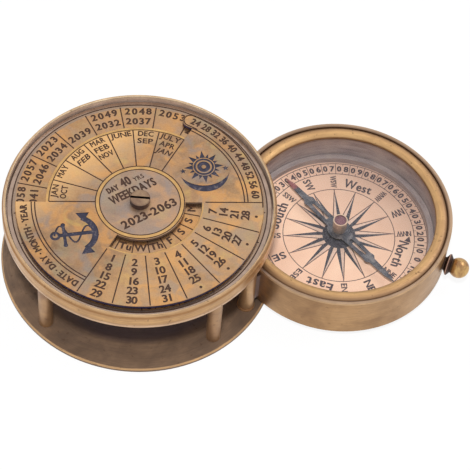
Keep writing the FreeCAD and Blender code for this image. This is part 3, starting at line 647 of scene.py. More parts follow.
def patina_brass(name, centre, gold, glow, roughness):
    """Chemically coloured brass: brown with orange, straw, grey and grey-green clouds, and over them a
    share of gold, which glow gives by the length in one level direction. The middle is greyer, and the
    ring of the year disc that shows round the face plate is grey-brown and polished."""
    s = Shader(name)
    clouds = s.noise(centre, 190, 4, 0.62, 0.6)
    broad = s.noise(centre, 85, 3, 0.55, 0.5)
    second = s.noise((0.31, 0.17, 0.05), 150, 3, 0.55, 0.5)
    third = s.noise((0.12, 0.43, 0.22), 170, 3, 0.55, 0.4)
    base = s.ramp(clouds, (0.30, (128, 102, 82)), (0.45, (154, 120, 92)), (0.57, (172, 132, 98)),
                  (0.70, (188, 144, 102)))
    for cloud, start, end, tone in (
            (broad, (0.47, 0.0), (0.60, 0.7), (160, 134, 116)),
            (second, (0.52, 0.0), (0.64, 0.8), (206, 148, 88)),
            (second, (0.34, 0.7), (0.46, 0.0), (150, 140, 116)),
            (third, (0.55, 0.0), (0.67, 0.65), (132, 126, 128)),
            (third, (0.28, 0.7), (0.40, 0.0), (196, 164, 100))):
        base = s.mix(s.ramp(cloud, start, end), base, tone)
    base = s.mix(s.bands(s.along(CALENDAR, GLOW_DIRECTION), *glow), base, gold)
    radius, _ = s.lathe_place(CALENDAR)
    base = s.mix(s.bands(radius, (11.0, 0.35), (11.6, 0.0)), base, (164, 152, 150))
    base = s.mix(s.bands(radius, (RING_START, 0.0), (RING_FULL, 0.75)), base, (152, 134, 122))
    grain = s.noise(centre, 2400, 3, 0.6)
    base = s.mix(0.14, base, s.ramp(grain, (0.3, (92, 70, 52)), (0.7, (214, 184, 148))))
    rough = s.ramp(clouds, (0.3, roughness + 0.08), (0.7, roughness - 0.06))
    rough = s.mix(s.bands(radius, (RING_START, 0.0), (RING_FULL, 1.0)), rough, 0.1)
    return s.finish(Base_Color=base, Metallic=0.88, Roughness=rough, Normal=s.bump(grain, 0.15))


def lathe_finish(s, centre, base, dark, streaks, roughness, metallic, relief=0.12, specks=0.5, covers=()):
    """The material of a turned piece: its colours under fine turning rings, handling stains, small dark
    specks and the covers, which are (mask, colour). roughness is given in the stains and between them."""
    rings = s.noise(s.turned_place(centre), 3800, 2, 0.6)
    stains = s.noise(centre, 110, 4, 0.6, 0.5)
    base = s.mix(s.ramp(stains, (0.36, 0.55), (0.60, 0.0)), base, s.mix(0.45, base, dark))
    base = s.mix(s.ramp(rings, (0.40, streaks), (0.60, 0.0)), base, dark)
    spots = s.noise(centre, 900, 2, 0.5)
    base = s.mix(s.ramp(spots, (0.66, 0.0), (0.74, specks)), base, (70, 48, 30))
    for mask, cover in covers:
        base = s.mix(mask, base, cover)
    rough = s.ramp(stains, (0.3, roughness[0]), (0.7, roughness[1]))
    return s.finish(Base_Color=base, Metallic=metallic, Roughness=rough, Normal=s.bump(rings, relief))


def turned_brass(name, centre, dark, light, roughness, metallic):
    """Lathe-turned brass, from a dark to a light tone."""
    s = Shader(name)
    base = s.ramp(s.noise(centre, 85, 4, 0.6, 0.5), (0.32, dark), (0.68, light))
    return lathe_finish(s, centre, base, dark, 0.25, roughness, metallic)


def rim_brass():
    """The calendar's case: a gold band and bead outside, with painted highlights and shade by height, and a
    duller, pinkish inside, painted much lighter as painted light against its shade.
    """
    s = Shader("rim_brass")
    radius, height = s.lathe_place(CALENDAR)
    # Painted highlights on the band, the bead and the top, and painted shade in the groove under the bead.
    outside = s.bands(height, (21.4, (222, 188, 156)), (22.3, (216, 180, 144)), (22.6, (190, 154, 120)),
                      (22.9, (194, 152, 106)), (24.0, (210, 166, 113)), (25.3, (198, 154, 106)),
                      (25.85, (166, 124, 84)), (26.2, (206, 164, 118)), (26.8, (218, 182, 140)))
    # Painted light: the inside far lighter than the brass, against the shade inside the rim.
    inside = s.bands(height, (24.6, (218, 190, 172)), (25.4, (226, 198, 178)), (26.4, (234, 210, 182)),
                     (26.7, (236, 212, 176)))
    base = s.mix(s.bands(radius, (37.0, 1.0), (37.2, 0.0)), outside, inside)
    metallic = s.bands(radius, (36.98, 0.25), (37.1, 0.9))
    return lathe_finish(s, CALENDAR, base, (128, 92, 62), 0.3, (0.42, 0.28), metallic)


def base_brass():
    """The dark base plate, with a painted blue-grey shadow where the calendar covers it, and its edge banded
    by height: two bright lines, partly wear and partly painted highlight, with a darker band between.
    """
    s = Shader("base_brass")
    radius, height = s.lathe_place(CALENDAR)
    tones = s.noise(CALENDAR, 60, 4, 0.6, 0.6)
    base = s.ramp(tones, (0.34, (90, 73, 60)), (0.5, (113, 91, 73)), (0.66, (136, 110, 87)))
    # Edge bands by height: rubbed brass and painted highlight.
    edge_wear_and_highlight = s.bands(height, (0.0, (170, 132, 90)), (0.35, (150, 112, 74)), (0.75, (76, 56, 44)),
                   (1.0, (120, 90, 62)), (1.15, (190, 150, 105)))
    # Painted shadow: blue-grey under the calendar.
    base = s.mix(s.bands(radius, (28.0, 0.65), (31.0, 0.0)), base, (84, 78, 92))
    base = s.mix(s.bands(radius, (38.55, 0.0), (38.75, 1.0)), base, edge_wear_and_highlight)
    return lathe_finish(s, CALENDAR, base, (72, 60, 54), 0.25, (0.55, 0.4), 0.12, 0.1)


def bezel_brass():
    """Polished gold round the glass, turning pinkish brown towards the groove beside the lip: the colours by
    radius paint the highlight on the inner flank and crown, and shade towards the groove.
    """
    s = Shader("bezel_brass")
    radius, _ = s.lathe_place(COMPASS)
    # Painted highlight and shade across the profile.
    base = s.bands(radius, (26.8, (150, 116, 82)), (27.1, (206, 166, 116)), (28.2, (212, 170, 118)),
                   (28.7, (196, 156, 110)), (29.7, (164, 130, 98)), (30.2, (106, 80, 60)))
    return lathe_finish(s, COMPASS, base, (140, 104, 74), 0.2, (0.54, 0.44), 0.85, 0.1)


def lining_colour(s):
    """Grey-mauve, smeared round the inside of the case."""
    smears = s.noise(s.turned_place(COMPASS, 0.004), 900, 3, 0.6)
    clouds = s.noise(COMPASS, 140, 3, 0.6)
    base = s.ramp(smears, (0.3, (142, 130, 132)), (0.7, (178, 166, 166)))
    return s.mix(s.ramp(clouds, (0.4, 0.0), (0.65, 0.5)), base, (192, 178, 172))


STAINED_SIDE = 200


def case_brass():
    """The compass case: tan lip, lighter towards its outer edge as a painted highlight, brown side with grey
    stains, and the lining's colour inside.
    """
    s = Shader("case_brass")
    radius, height = s.lathe_place(COMPASS)
    tones = s.noise(COMPASS, 70, 4, 0.6, 0.6)
    side = s.ramp(tones, (0.32, (158, 120, 82)), (0.5, (182, 142, 98)), (0.68, (194, 154, 110)))
    # Painted highlight: the lip lighter towards its outer edge.
    lip = s.bands(radius, (30.3, (110, 84, 66)), (30.55, (162, 136, 114)), (31.2, (188, 158, 130)),
                  (31.5, (212, 174, 130)))
    base = s.mix(s.bands(height, (16.0, 0.0), (16.4, 1.0)), side, lip)
    stains = s.ramp(s.noise((0.2, 0.36, 0.07), 150, 4, 0.65, 0.8), (0.46, 0.0), (0.64, 0.85))
    stained = s.bands(s.along(COMPASS, STAINED_SIDE), (24.0, 0.0), (29.0, 0.85))
    inside = s.bands(radius, (29.5, 1.0), (29.8, 0.0))
    covers = ((s.maths("MULTIPLY", stained, stains), (110, 100, 104)), (inside, lining_colour(s)))
    return lathe_finish(s, COMPASS, base, (118, 92, 72), 0.2, (0.48, 0.34), s.mix(inside, 0.93, 0.4),
                        specks=0.25, covers=covers)


# Where the two cones of the pull knob's collar meet, from the compass's axis.
COLLAR_RIM = radius_of("compass_case") + 1.1


def knob_brass():
    """The pull knob: gold ball with rose and straw stains, dark neck and collar cones, and a light band
    painted as a highlight where the cones meet.
    """
    s = Shader("knob_brass")
    base = s.ramp(s.noise(COMPASS, 260, 4, 0.6, 0.6), (0.34, (158, 120, 84)), (0.48, (192, 154, 102)),
                  (0.6, (212, 174, 112)), (0.72, (206, 160, 130)))
    beyond = s.maths("SUBTRACT", s.along(COMPASS, KNOB_ANGLE), COLLAR_RIM)
    # Painted highlight: a light band where the collar's cones meet.
    collar = s.bands(beyond, (-0.6, (70, 54, 48)), (-0.12, (78, 60, 52)), (0.02, (186, 150, 134)),
                     (0.16, (176, 140, 122)), (0.28, (78, 60, 54)), (1.3, (62, 46, 42)))
    base = s.mix(s.bands(beyond, (1.2, 1.0), (1.7, 0.0)), base, collar)
    rough = s.bands(beyond, (1.2, 0.5), (1.7, 0.3))
    grain = s.noise(COMPASS, 3000, 2, 0.5)
    return s.finish(Base_Color=base, Metallic=0.9, Roughness=rough, Normal=s.bump(grain, 0.1))


def cap_brass():
    """The cap over the needle's bearing: brass side and rim, the rim painted lighter as a highlight, with a
    purplish lacquer in its sunk top.
    """
    s = Shader("cap_brass")
    radius, height = s.lathe_place(COMPASS)
    tones = s.noise(COMPASS, 500, 3, 0.6, 0.4)
    brass = s.ramp(tones, (0.35, (164, 142, 128)), (0.6, (200, 178, 160)), (0.75, (232, 214, 200)))
    # Painted highlight: the top rim lighter than the side.
    brass = s.mix(s.bands(height, (12.0, 0.0), (12.15, 1.0)), brass, (226, 200, 176))
    lacquer = s.ramp(tones, (0.35, (98, 66, 76)), (0.65, (134, 94, 104)))
    base = s.mix(s.bands(radius, (1.72, 1.0), (1.8, 0.0)), brass, lacquer)
    return s.finish(Base_Color=base, Metallic=s.bands(radius, (1.72, 0.3), (1.8, 0.7)), Roughness=0.3)


def screw_finish():
    """The centre screw: a head coloured like the dial, with its side darker and its slot dark, both painted
    shade.
    """
    s = Shader("screw_finish")
    radius, height = s.lathe_place(CALENDAR)
    tones = s.noise(CALENDAR, 260, 3, 0.6, 0.4)
    face = s.ramp(tones, (0.35, (134, 106, 88)), (0.5, (152, 124, 100)), (0.65, (170, 142, 112)))
    # Painted shade: the side of the head darker than its top.
    side = s.ramp(tones, (0.35, (70, 56, 58)), (0.65, (104, 84, 78)))
    top = top_of("centre_screw")
    inner = s.bands(radius, (2.55, 1.0), (2.65, 0.0))
    # Painted shade: the slot filled dark.
    slot = s.maths("MULTIPLY", inner, s.bands(height, (top - 0.2, 1.0), (top - 0.05, 0.0)))
    base = s.mix(s.bands(height, (top - 0.4, 0.0), (top - 0.1, 1.0)), side, face)
    return s.finish(Base_Color=s.mix(slot, base, (44, 32, 34)), Roughness=0.4, Metallic=0.75)


PAINTED_SHADE_CARD_SIDE = 55


def card_paper():
    """Matt pinkish-buff card, a little stained, and greyer towards one side as painted shade."""
    s = Shader("card_paper")
    stains = s.noise(COMPASS, 70, 3, 0.55, 0.4)
    fibres = s.noise(COMPASS, 4200, 3, 0.7)
    base = s.ramp(stains, (0.3, (232, 190, 164)), (0.5, (242, 202, 177)), (0.7, (247, 212, 186)))
    base = s.mix(0.08, base, s.ramp(fibres, (0.3, (190, 150, 120)), (0.7, (255, 240, 220))))
    # Painted shade: the card greyer towards its far right.
    painted_card_shade = s.bands(s.along(COMPASS, PAINTED_SHADE_CARD_SIDE), (-2.0, 0.0), (22.0, 0.6))
    base = s.mix(painted_card_shade, base, (166, 140, 128))
    return s.finish(Base_Color=base, Roughness=0.8, Normal=s.bump(fibres, 0.1))


def needle_finish():
    """Blued steel with a red north tip."""
    s = Shader("needle_finish")
    wear = s.noise(COMPASS, 500, 3, 0.6, 0.4)
    blue = s.ramp(wear, (0.32, (70, 72, 82)), (0.5, (98, 99, 107)), (0.66, (132, 130, 134)))
    red = s.ramp(wear, (0.35, (132, 72, 78)), (0.66, (178, 122, 122)))
    north = s.bands(s.along(COMPASS, NEEDLE_ANGLE), (18.0, 0.0), (19.0, 1.0))
    return s.finish(Base_Color=s.mix(north, blue, red), Roughness=0.36, Metallic=0.8)


def dark_lining():
    """The grey-mauve ring and backing inside the compass case."""
    s = Shader("dark_lining")
    return s.finish(Base_Color=lining_colour(s), Roughness=0.5, Metallic=0.4)


def window_glass():
    """Clear glass that lets the light through to the card."""
    s = Shader("window_glass")
    smudge = s.ramp(s.noise(COMPASS, 60, 4, 0.6, 0.8), (0.4, 0.02), (0.7, 0.12))
    gloss = s.node("BsdfGlossy", Color=(235, 240, 240), Roughness=smudge)
    clear = s.node("BsdfTransparent", Color=(253, 252, 251))
    facing = s.node("Fresnel", IOR=1.45).outputs[0]
    return s.blend(s.maths("MULTIPLY", facing, 0.3), clear, gloss)


def stage_white():
    """The floor: pale, and seen as nearly pure white where nothing shades it."""
    s = Shader("stage_white")
    matt = s.node("BsdfDiffuse", Color=(245, 245, 245))
    glow = s.node("Emission", Color=WHITE, Strength=1.0)
    return s.blend(s.maths("MULTIPLY", s.seen(), 0.88), matt, glow)


def mottled(name, scale, stops, roughness, metallic=0.0, detail=3, grain=0.6, centre=(0, 0, 0)):
    """A finish that is one noise over a few colours."""
    s = Shader(name)
    base = s.ramp(s.noise(centre, scale, detail, grain), *stops)
    return s.finish(Base_Color=base, Roughness=roughness, Metallic=metallic)


# Patina of the two dials. Each glow is a row of (length, share of gold).
PLATE_GLOW = ((-30.0, 0.22), (-20.0, 0.34), (-8.0, 0.08), (11.0, 0.08), (21.0, 0.85))
DISC_GLOW = ((-36.0, 0.38), (36.0, 0.38))
PATINA = patina_brass("patina_brass", CALENDAR, (240, 190, 128), PLATE_GLOW, 0.46)
DISC_PATINA = patina_brass("disc_patina", (0.4, 0.2, 0.1), (224, 168, 108), DISC_GLOW, 0.26)

# Dark wax left in the cuts, and the blue-black of the two motifs.
FILL = mottled("engraving_fill", 1500, ((0.3, (46, 28, 20)), (0.7, (74, 48, 34))), 0.6, 0.1, detail=2,
               grain=0.5)
NAVY = mottled("motif_fill", 900, ((0.3, (28, 26, 40)), (0.56, (44, 42, 60)), (0.68, (92, 84, 86))),
               0.55, 0.1)

# The cut sides of the dials, painted blue-black as their shade, and the side of the weekday window, painted a
# browner and lighter shade.
PAINTED_SHADE_SIDE = mottled("plate_side_painted_shade", 500, ((0.3, (50, 46, 78)), (0.7, (72, 66, 98))), 0.5, 0.3)
WINDOW_PAINTED_SHADE_SIDE = mottled("window_side_painted_shade", 500, ((0.3, (92, 74, 66)), (0.7, (130, 106, 90))), 0.5, 0.3)

# Brighter brass along the plate's windows, a painted highlight standing in for bevelled edges, and the
# grey-brown edge of the year disc.
PAINTED_HIGHLIGHT_STRIP = mottled("painted_highlight_strip", 260, ((0.3, (184, 144, 94)), (0.7, (216, 173, 112))), 0.4, 0.85)
DISC_MARGIN = mottled("disc_margin", 400, ((0.3, (158, 136, 121)), (0.7, (180, 156, 140))), 0.16, 0.85)

# The jewel in the needle's cap.
RED_STONE = mottled("red_stone", 700, ((0.35, (130, 46, 52)), (0.7, (170, 80, 80))), 0.3, centre=COMPASS)

# Turned brass: the pillars, the saddle that carries the compass, and screws and small parts.
PILLAR_BRASS = turned_brass("pillar_brass", CALENDAR, (150, 115, 88), (204, 164, 118), (0.46, 0.33), 0.75)
SADDLE_BRASS = turned_brass("saddle_brass", COMPASS, (110, 92, 88), (146, 126, 122), (0.5, 0.37), 0.5)
SCREW_BRASS = turned_brass("screw_brass", CALENDAR, (170, 132, 94), (208, 172, 126), (0.4, 0.27), 0.9)


# Stage, light and camera.

FLOOR_SIZE = 6.0
AMBIENT = 0.42
LAMP_TARGET = Vector((0.03, 0.0, 0.01))
LAMPS = [
    # name, place, size and power in watts of each lamp, and whether metal mirrors it
    ("key_lamp", (0.0, -0.38, 0.9), 0.1, 7.5, False),
    ("back_lamp", (0.5, 0.3, 0.7), 0.4, 1.5, True),
]


def build_world():
    """Soft light from all sides, and white for what the camera sees."""
    s = Shader("studio", "worlds", "OutputWorld")
    ambient = s.node("Background", Color=WHITE, Strength=AMBIENT)
    backdrop = s.node("Background", Color=WHITE, Strength=1.0)
    bpy.context.scene.world = s.blend(s.seen(), ambient, backdrop)


def build_floor():
    bpy.ops.mesh.primitive_plane_add(size=FLOOR_SIZE, location=(0, 0, 0))
    floor = bpy.context.object
    floor.name = "stage_floor"
    floor.data.materials.append(stage_white())


def build_lamps():
    for name, place, size, power, mirrored in LAMPS:
        light = bpy.data.lights.new(name, "AREA")
        light.size = size
        light.energy = power
        lamp = add_object(name, light)
        lamp.location = place
        lamp.visible_glossy = mirrored
        lamp.rotation_euler = (LAMP_TARGET - Vector(place)).to_track_quat("-Z", "Y").to_euler()


def build_camera():
    data = bpy.data.cameras.new("camera")
    data.lens = CAMERA_LENS
    data.sensor_width = SENSOR
    camera = add_object("camera", data)
    place = Matrix.Translation(Vector(CAMERA_PLACE) * MM)
    tilt = Matrix.Rotation(math.radians(90 - CAMERA_PITCH), 4, "X")
    roll = Matrix.Rotation(math.radians(CAMERA_ROLL), 4, "Z")
    camera.matrix_world = place @ tilt @ roll
    bpy.context.scene.camera = camera


def dress(material, *nodes):
    """Gives CAD pieces one finish."""
    for name in nodes:
        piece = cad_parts[name]
        if not piece.material_slots:
            piece.data.materials.append(material)
        for socket in piece.material_slots:
            socket.material = material


bpy.context.scene.view_settings.view_transform = "Standard"
build_world()
build_floor()
build_lamps()
build_camera()

dress(base_brass(), "base_plate")
dress(PILLAR_BRASS, "front_left_pillar", "front_right_pillar", "rear_pillar", "hinge_post", "hinge_barrel",
      "lower_thrust_washer", "upper_thrust_washer")
dress(SADDLE_BRASS, "hinge_saddle")
dress(rim_brass(), "calendar_housing")
dress(screw_finish(), "centre_screw")
dress(SCREW_BRASS, "centre_nut", "base_screws", "deck_screws", "centre_bush", "disc_spacer",
      "separator_washer", "needle_post")
dress(case_brass(), "compass_case")
dress(knob_brass(), "pull_knob")
dress(cap_brass(), "needle_cap")
dress(card_paper(), "compass_card")
dress(dark_lining(), "card_backing", "card_ring")
dress(needle_finish(), "compass_needle")
dress(RED_STONE, "cap_jewel")
dress(window_glass(), "compass_glass")


# Both dials: width of their lines, depth of their cuts, their chamfer and their bore.

LINE = 0.36
THIN_LINE = 0.3
ENGRAVED_DEPTH = 0.12
CHAMFER = 0.12
TINT_GAP = 0.02
BORE_RADIUS = 2.25
BORE_PARTS = 48


def round_rim(radius, chamfer, count, material):
    """A round edge for engraved_solid. The chamfer of a hole is below 0."""
    return circle(radius - chamfer, count), circle(radius, count), material


def dial_levels(node):
    """Bottom, chamfer, floor of the cuts and top of a dial."""
    top = top_of(node)
    return bottom_of(node), top - CHAMFER, top - ENGRAVED_DEPTH, top


# Face plate: lengths from its centre, and angles from its own right. Four sectors follow one another
# anticlockwise: the months, a motif beside a band of words, the dates, and a motif beside a band of years.

MONTH_START, LEFT_START, DATE_START, RIGHT_START = 30.0, 150.0, 210.0, 330.0
MOTIF_SECTOR = 60
PLATE_RADIUS = radius_of("face_plate")
NOTCH_RADIUS = 26.05
TAB_INNER_RADIUS = 29.9
TAB_OVERHANG = 3.1
TAB_LINE_INSETS = (0.14, 0.5)
TAB_LINE_TAIL = 66
TAB_LINE_LEAD = 6
WINDOW_INNER_RADIUS = 12.6
WINDOW_OUTER_RADIUS = 17.1
CENTRE_LINES = (12.3, 11.15)
MONTH_CELLS = (12.3, 25.1)
DATE_CELLS = (18.05, PLATE_RADIUS - 0.2)
BAND_LINES = (28.95, 29.9)

MONTHS = ["JAN OCT", "MAY", "AUG /FEB", "MAR FEB NOV", "JUNE", "DEC SEP", "JULY APR /JAN"]
MONTH_RADIUS = 23.8
MONTH_ROW = 2.55
MONTH_HEIGHT = 1.8
MONTH_LETTER = 1.52
LEAP_SLANT = 0.28

LAST_DATE = 31
DATE_ROWS = 5
DATE_RADIUS = 20.25
DATE_ROW = 3.03
DATE_HEIGHT = 2.42
DATE_PITCH = 1.5
DOT_RADIUS = 0.42


def plate_angle(angle):
    """From the plate's own directions (90 is its upright) to the object's."""
    return angle + PLATE_TURN


def tab_edge(inset):
    """The edge of the tab beside the cut-out, from its outer side round its end to its inner side."""
    tab_radius = (PLATE_RADIUS - TAB_INNER_RADIUS) / 2
    tab = plate_angle(MONTH_START) + TAB_OVERHANG
    cx, cy = polar(TAB_INNER_RADIUS + tab_radius, tab)
    return [(cx + x, cy + y) for x, y in arc(tab_radius - inset, tab, tab + 180, 16)]


def plate_outline(inset):
    """The plate's outer edge with the cut-out over the years and the round-ended tab beside it."""
    outer = PLATE_RADIUS - inset
    notch = NOTCH_RADIUS - inset
    inner = TAB_INNER_RADIUS + inset
    start = plate_angle(MONTH_START)
    end = plate_angle(LEFT_START)
    tab = start + TAB_OVERHANG
    points = arc(outer, end + math.degrees(inset / outer), tab + 360, RING_PARTS)
    points += tab_edge(inset)[1:-1]
    points += arc(inner, tab, start - math.degrees(inset / inner), 4)
    return points + longer_arc(notch, start, end, inset)


def tab_lines():
    """A dark engraved line inside the edge of the tab, which goes on along the plate's edge and along the
    double line: a painted shadow along the tab's edge.
    """
    tab = plate_angle(MONTH_START) + TAB_OVERHANG
    lines = []
    for inset in TAB_LINE_INSETS:
        tail = arc(PLATE_RADIUS - inset, tab - TAB_LINE_TAIL, tab, 33)[:-1]
        lead = arc(TAB_INNER_RADIUS + inset, tab, tab - TAB_LINE_LEAD, 3)[1:]
        lines.append(tail + tab_edge(inset) + lead)
    outside, inside = lines
    return [[outside + inside[::-1]]]


def window_outline(grow):
    inner = WINDOW_INNER_RADIUS - grow
    outer = WINDOW_OUTER_RADIUS + grow
    start = plate_angle(DATE_START)
    end = plate_angle(RIGHT_START)
    return longer_arc(outer, start, end, grow) + longer_arc(inner, end, start, grow)


def plate_lines():
    marks = [ring_line(radius, THIN_LINE) for radius in CENTRE_LINES]
    marks.append(arc_line(MONTH_CELLS[1], plate_angle(MONTH_START), plate_angle(LEFT_START), THIN_LINE))
    for k in range(CELLS + 1):
        marks.append(ray_line(plate_angle(MONTH_START + CELL * k), *MONTH_CELLS, LINE))
        marks.append(ray_line(plate_angle(DATE_START + CELL * k), *DATE_CELLS, LINE))
    for start in (LEFT_START, RIGHT_START):
        for radius in BAND_LINES:
            marks.append(arc_line(radius, plate_angle(start), plate_angle(start + MOTIF_SECTOR), LINE))
    return marks + tab_lines()


def plate_months():
    """A leap year's months lean, and have a stroke before them in MONTHS."""
    marks = []
    for k, names in enumerate(MONTHS):
        angle = plate_angle(LEFT_START - CELL * (k + 0.5))
        for row, name in enumerate(names.split()):
            slant = LEAP_SLANT if name.startswith("/") else 0.0
            name = name.strip("/")
            marks += text_at(name, MONTH_RADIUS - MONTH_ROW * row, angle, MONTH_HEIGHT,
                             MONTH_LETTER * len(name) - 0.1, slant=slant, weight=SMALL)
    return marks


def plate_dates():
    """Seven columns of dates, with a dot under each short one."""
    marks = []
    for place in range(DATE_ROWS * CELLS):
        row, column = divmod(place, CELLS)
        radius = DATE_RADIUS + DATE_ROW * row
        angle = plate_angle(DATE_START + CELL * (column + 0.5))
        if place < LAST_DATE:
            marks += text_at(str(place + 1), radius, angle, DATE_HEIGHT, turn=TOPS_IN, pitch=DATE_PITCH)
        else:
            marks.append([circle(DOT_RADIUS, 20, polar(radius, angle))])
    return marks


CENTRE_WORDS = (
    # word, its middle to the right of the centre and above it, cap height, width and weight
    ("DAY", -4.4, 7.5, 1.9, 3.6, DIAL_WEIGHT),
    ("40", -0.1, 8.0, 3.0, 3.1, BOLD),
    ("YRS", 3.8, 7.4, 1.5, 3.2, LIGHT),
    ("WEEKDAYS", 0.1, 4.2, 2.8, 14.4, BOLD),
    ("2023-2063", 0.15, -4.6, 2.7, 17.1, BOLD),
)


def plate_words():
    """The words and years along the two bands, and the words in the centre, which stand upright."""
    marks = text_on_arc("DATE · DAY · MONTH · YEAR", 32.1, plate_angle(180), 2.0, 31.5)
    marks += text_on_arc("24 28 32 36 40 44 48 52 56 60", 32.15, plate_angle(2.5), 2.2, 33.8)
    for word, right, above, height, width, weight in CENTRE_WORDS:
        place = moved([[(right, above)]], turn=PLATE_TURN)[0][0]
        letters = line_of_text(word, height, width, weight=weight)
        marks += [moved(mark, *place, PLATE_TURN) for mark in letters]
    return marks


def anchor_motif():
    """A ship's anchor, 11 mm tall before it is scaled, with a rope looped through its ring."""
    marks = [[circle(1.15, 32, (0, 4.7)), circle(0.55, 24, (0, 4.7))]]
    marks.append(bar((0, 3.6), (0, -4.6), 0.95))
    marks.append([[(-2.6, 2.35), (2.6, 2.35), (2.6, 3.05), (-2.6, 3.05)]])
    marks += [[circle(0.5, 20, (x, 2.7))] for x in (-2.7, 2.7)]
    fluke = arc(5.0, 205, 335, 22)
    belly = arc(3.95, 333, 207, 22)
    marks.append([[(x, y + 0.2) for x, y in fluke] + [(x, y + 0.55) for x, y in belly]])
    for side in (-1, 1):
        marks.append([[(side * 5.5, -0.4), (side * 5.35, -3.4), (side * 3.0, -1.9)]])
    rope = []
    steps = 46
    for i in range(steps + 1):
        t = i / steps
        rope.append((2.6 * math.sin(t * 3.2 * math.pi) * (1 - 0.35 * t), 4.9 - 9.6 * t))
    return marks + [bar(first, second, 0.42) for first, second in zip(rope, rope[1:])]


def sun_motif():
    """A sun with straight rays over a crescent moon, with a small star beside each of its horns."""
    sun = 1.4
    marks = [[circle(2.2, 40, (0, sun)), circle(1.75, 40, (0, sun))]]
    marks.append([circle(1.4, 32, (0, sun)), circle(0.5, 20, (0, sun))])
    foot = 2.45
    for k in range(16):
        angle = 360 / 16 * k
        reach, base = (3.5, 0.4) if k % 2 else (4.3, 0.6)
        half = math.degrees(base / foot)
        ray = polar(reach, angle), polar(foot, angle + half), polar(foot, angle - half)
        marks.append([[(x, y + sun) for x, y in ray]])
    marks.append([arc(5.2, 198, 342, 28) + [(x, y + 2.8) for x, y in arc(6.4, 326, 214, 28)]])
    for side in (-1, 1):
        star = [polar(0.3 if k % 2 else 0.75, 90 + 36 * k) for k in range(10)]
        marks.append([[(side * 4.6 + x, y + 0.6) for x, y in star]])
    return marks


MOTIFS = (
    # outlines, radius and angle of their place, turn and scale
    (anchor_motif(), 20.4, 182, 68, 1.25),
    (sun_motif(), 20.9, 0, -24, 1.3),
)


def rubbed_strips():
    """A painted highlight of bright brass along the notch, round the centre and beside the weekday window."""
    month_ends = plate_angle(MONTH_START + 0.4), plate_angle(LEFT_START - 0.4)
    date_ends = plate_angle(DATE_START + 1), plate_angle(RIGHT_START - 1)
    return [band(MONTH_CELLS[1], NOTCH_RADIUS - CHAMFER - TINT_GAP, *month_ends),
            ring_line(11.72, 1.15),
            band(WINDOW_OUTER_RADIUS + CHAMFER + TINT_GAP, WINDOW_OUTER_RADIUS + 0.5, *date_ends)]


def make_face_plate():
    # The sides of the plate and its window take painted shade.
    rims = [(plate_outline(CHAMFER), plate_outline(0.0), 3),
            (window_outline(CHAMFER), window_outline(0.0), 5),
            round_rim(BORE_RADIUS, -CHAMFER, BORE_PARTS, 3)]
    cuts = []
    for motif, radius, angle, turn, scale in MOTIFS:
        place = polar(radius, plate_angle(angle))
        cuts += [(moved(mark, *place, plate_angle(turn), scale), 2) for mark in motif]
    cuts += [(loops, 1) for loops in plate_lines() + plate_months() + plate_dates() + plate_words()]
    # Painted highlights: the bright strips on the face.
    tints = [(loops, 4) for loops in rubbed_strips()]
    plate = engraved_solid("face_plate_engraved", rims, cuts, tints, dial_levels("face_plate"),
                           [PATINA, FILL, NAVY, PAINTED_SHADE_SIDE, PAINTED_HIGHLIGHT_STRIP, WINDOW_PAINTED_SHADE_SIDE])
    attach(plate, "calendar_face")
    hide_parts("face_plate")


# Year disc: two rings of years and a ring of weekdays, turned a little from the plate's cells.

SHOWN_YEARS = [(2058, 2041), (2057, 2046), (2023, 2034), (None, 2039), (2049, 2032), (2048, 2037),
               (2053, None)]
YEARS = range(2023, 2064)
MARCH = 3
FRIDAY = 4
WEEKDAYS = ["M", "Tu", "W", "Th", "F", "S", "S"]
YEAR_RING = 35.3
YEAR_CELLS = (26.0, 34.8)
WEEKDAY_CELLS = (11.9, 17.9)
WEEKDAY_RADIUS = 14.3
LARGE_TEXT = 2.3

# Radius, cap height and pitch of each row of years.
TWO_ROWS = ((33.0, LARGE_TEXT, 2.04), (29.45, LARGE_TEXT, 1.85))
THREE_ROWS = ((33.0, 1.7, 1.5), (30.5, 1.7, 1.5), (28.0, 1.7, 1.5))


def year_cells():
    """The years in each of the disc's 21 cells, clockwise, from the outside in. The first column's years
    start their March on a Friday, and those of each column to its right on the weekday before."""
    outer = []
    inner = []
    for column, shown in enumerate(SHOWN_YEARS):
        weekday = (FRIDAY - column) % len(WEEKDAYS)
        spare = [year for year in YEARS if date(year, MARCH, 1).weekday() == weekday and year not in shown]
        half = len(spare) // 2
        outer.append(spare[:half])
        inner.append(spare[half:])
    return SHOWN_YEARS + outer + inner


def year_text(years, angle):
    marks = []
    for year, (radius, height, pitch) in zip(years, THREE_ROWS if len(years) == 3 else TWO_ROWS):
        if year:
            marks += text_at(str(year), radius, angle, height, pitch=pitch)
    return marks


def disc_marks():
    marks = [ring_line(YEAR_RING, LINE)]
    for k, years in enumerate(year_cells()):
        angle = plate_angle(90 + YEAR_PHASE + CELL * (CELLS // 2 - k))
        marks.append(ray_line(angle + CELL / 2, *YEAR_CELLS, LINE))
        marks.append(ray_line(angle, *WEEKDAY_CELLS, LINE))
        marks += year_text(years, angle)
        weekday = WEEKDAYS[-k % len(WEEKDAYS)]
        marks += text_at(weekday, WEEKDAY_RADIUS, angle + 180, LARGE_TEXT, turn=TOPS_IN)
    return marks


def make_year_disc():
    outer = radius_of("year_disc")
    # The disc's sides take painted shade.
    rims = [round_rim(outer, CHAMFER, RING_PARTS, 2), round_rim(BORE_RADIUS, -CHAMFER, BORE_PARTS, 2)]
    cuts = [(loops, 1) for loops in disc_marks()]
    margin = ring(YEAR_RING, outer - CHAMFER - TINT_GAP)
    disc = engraved_solid("year_disc_engraved", rims, cuts, [(margin, 3)], dial_levels("year_disc"),
                          [DISC_PATINA, FILL, PAINTED_SHADE_SIDE, DISC_MARGIN])
    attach(disc, "year_dial")
    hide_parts("year_disc")


# Compass card: everything printed on it.

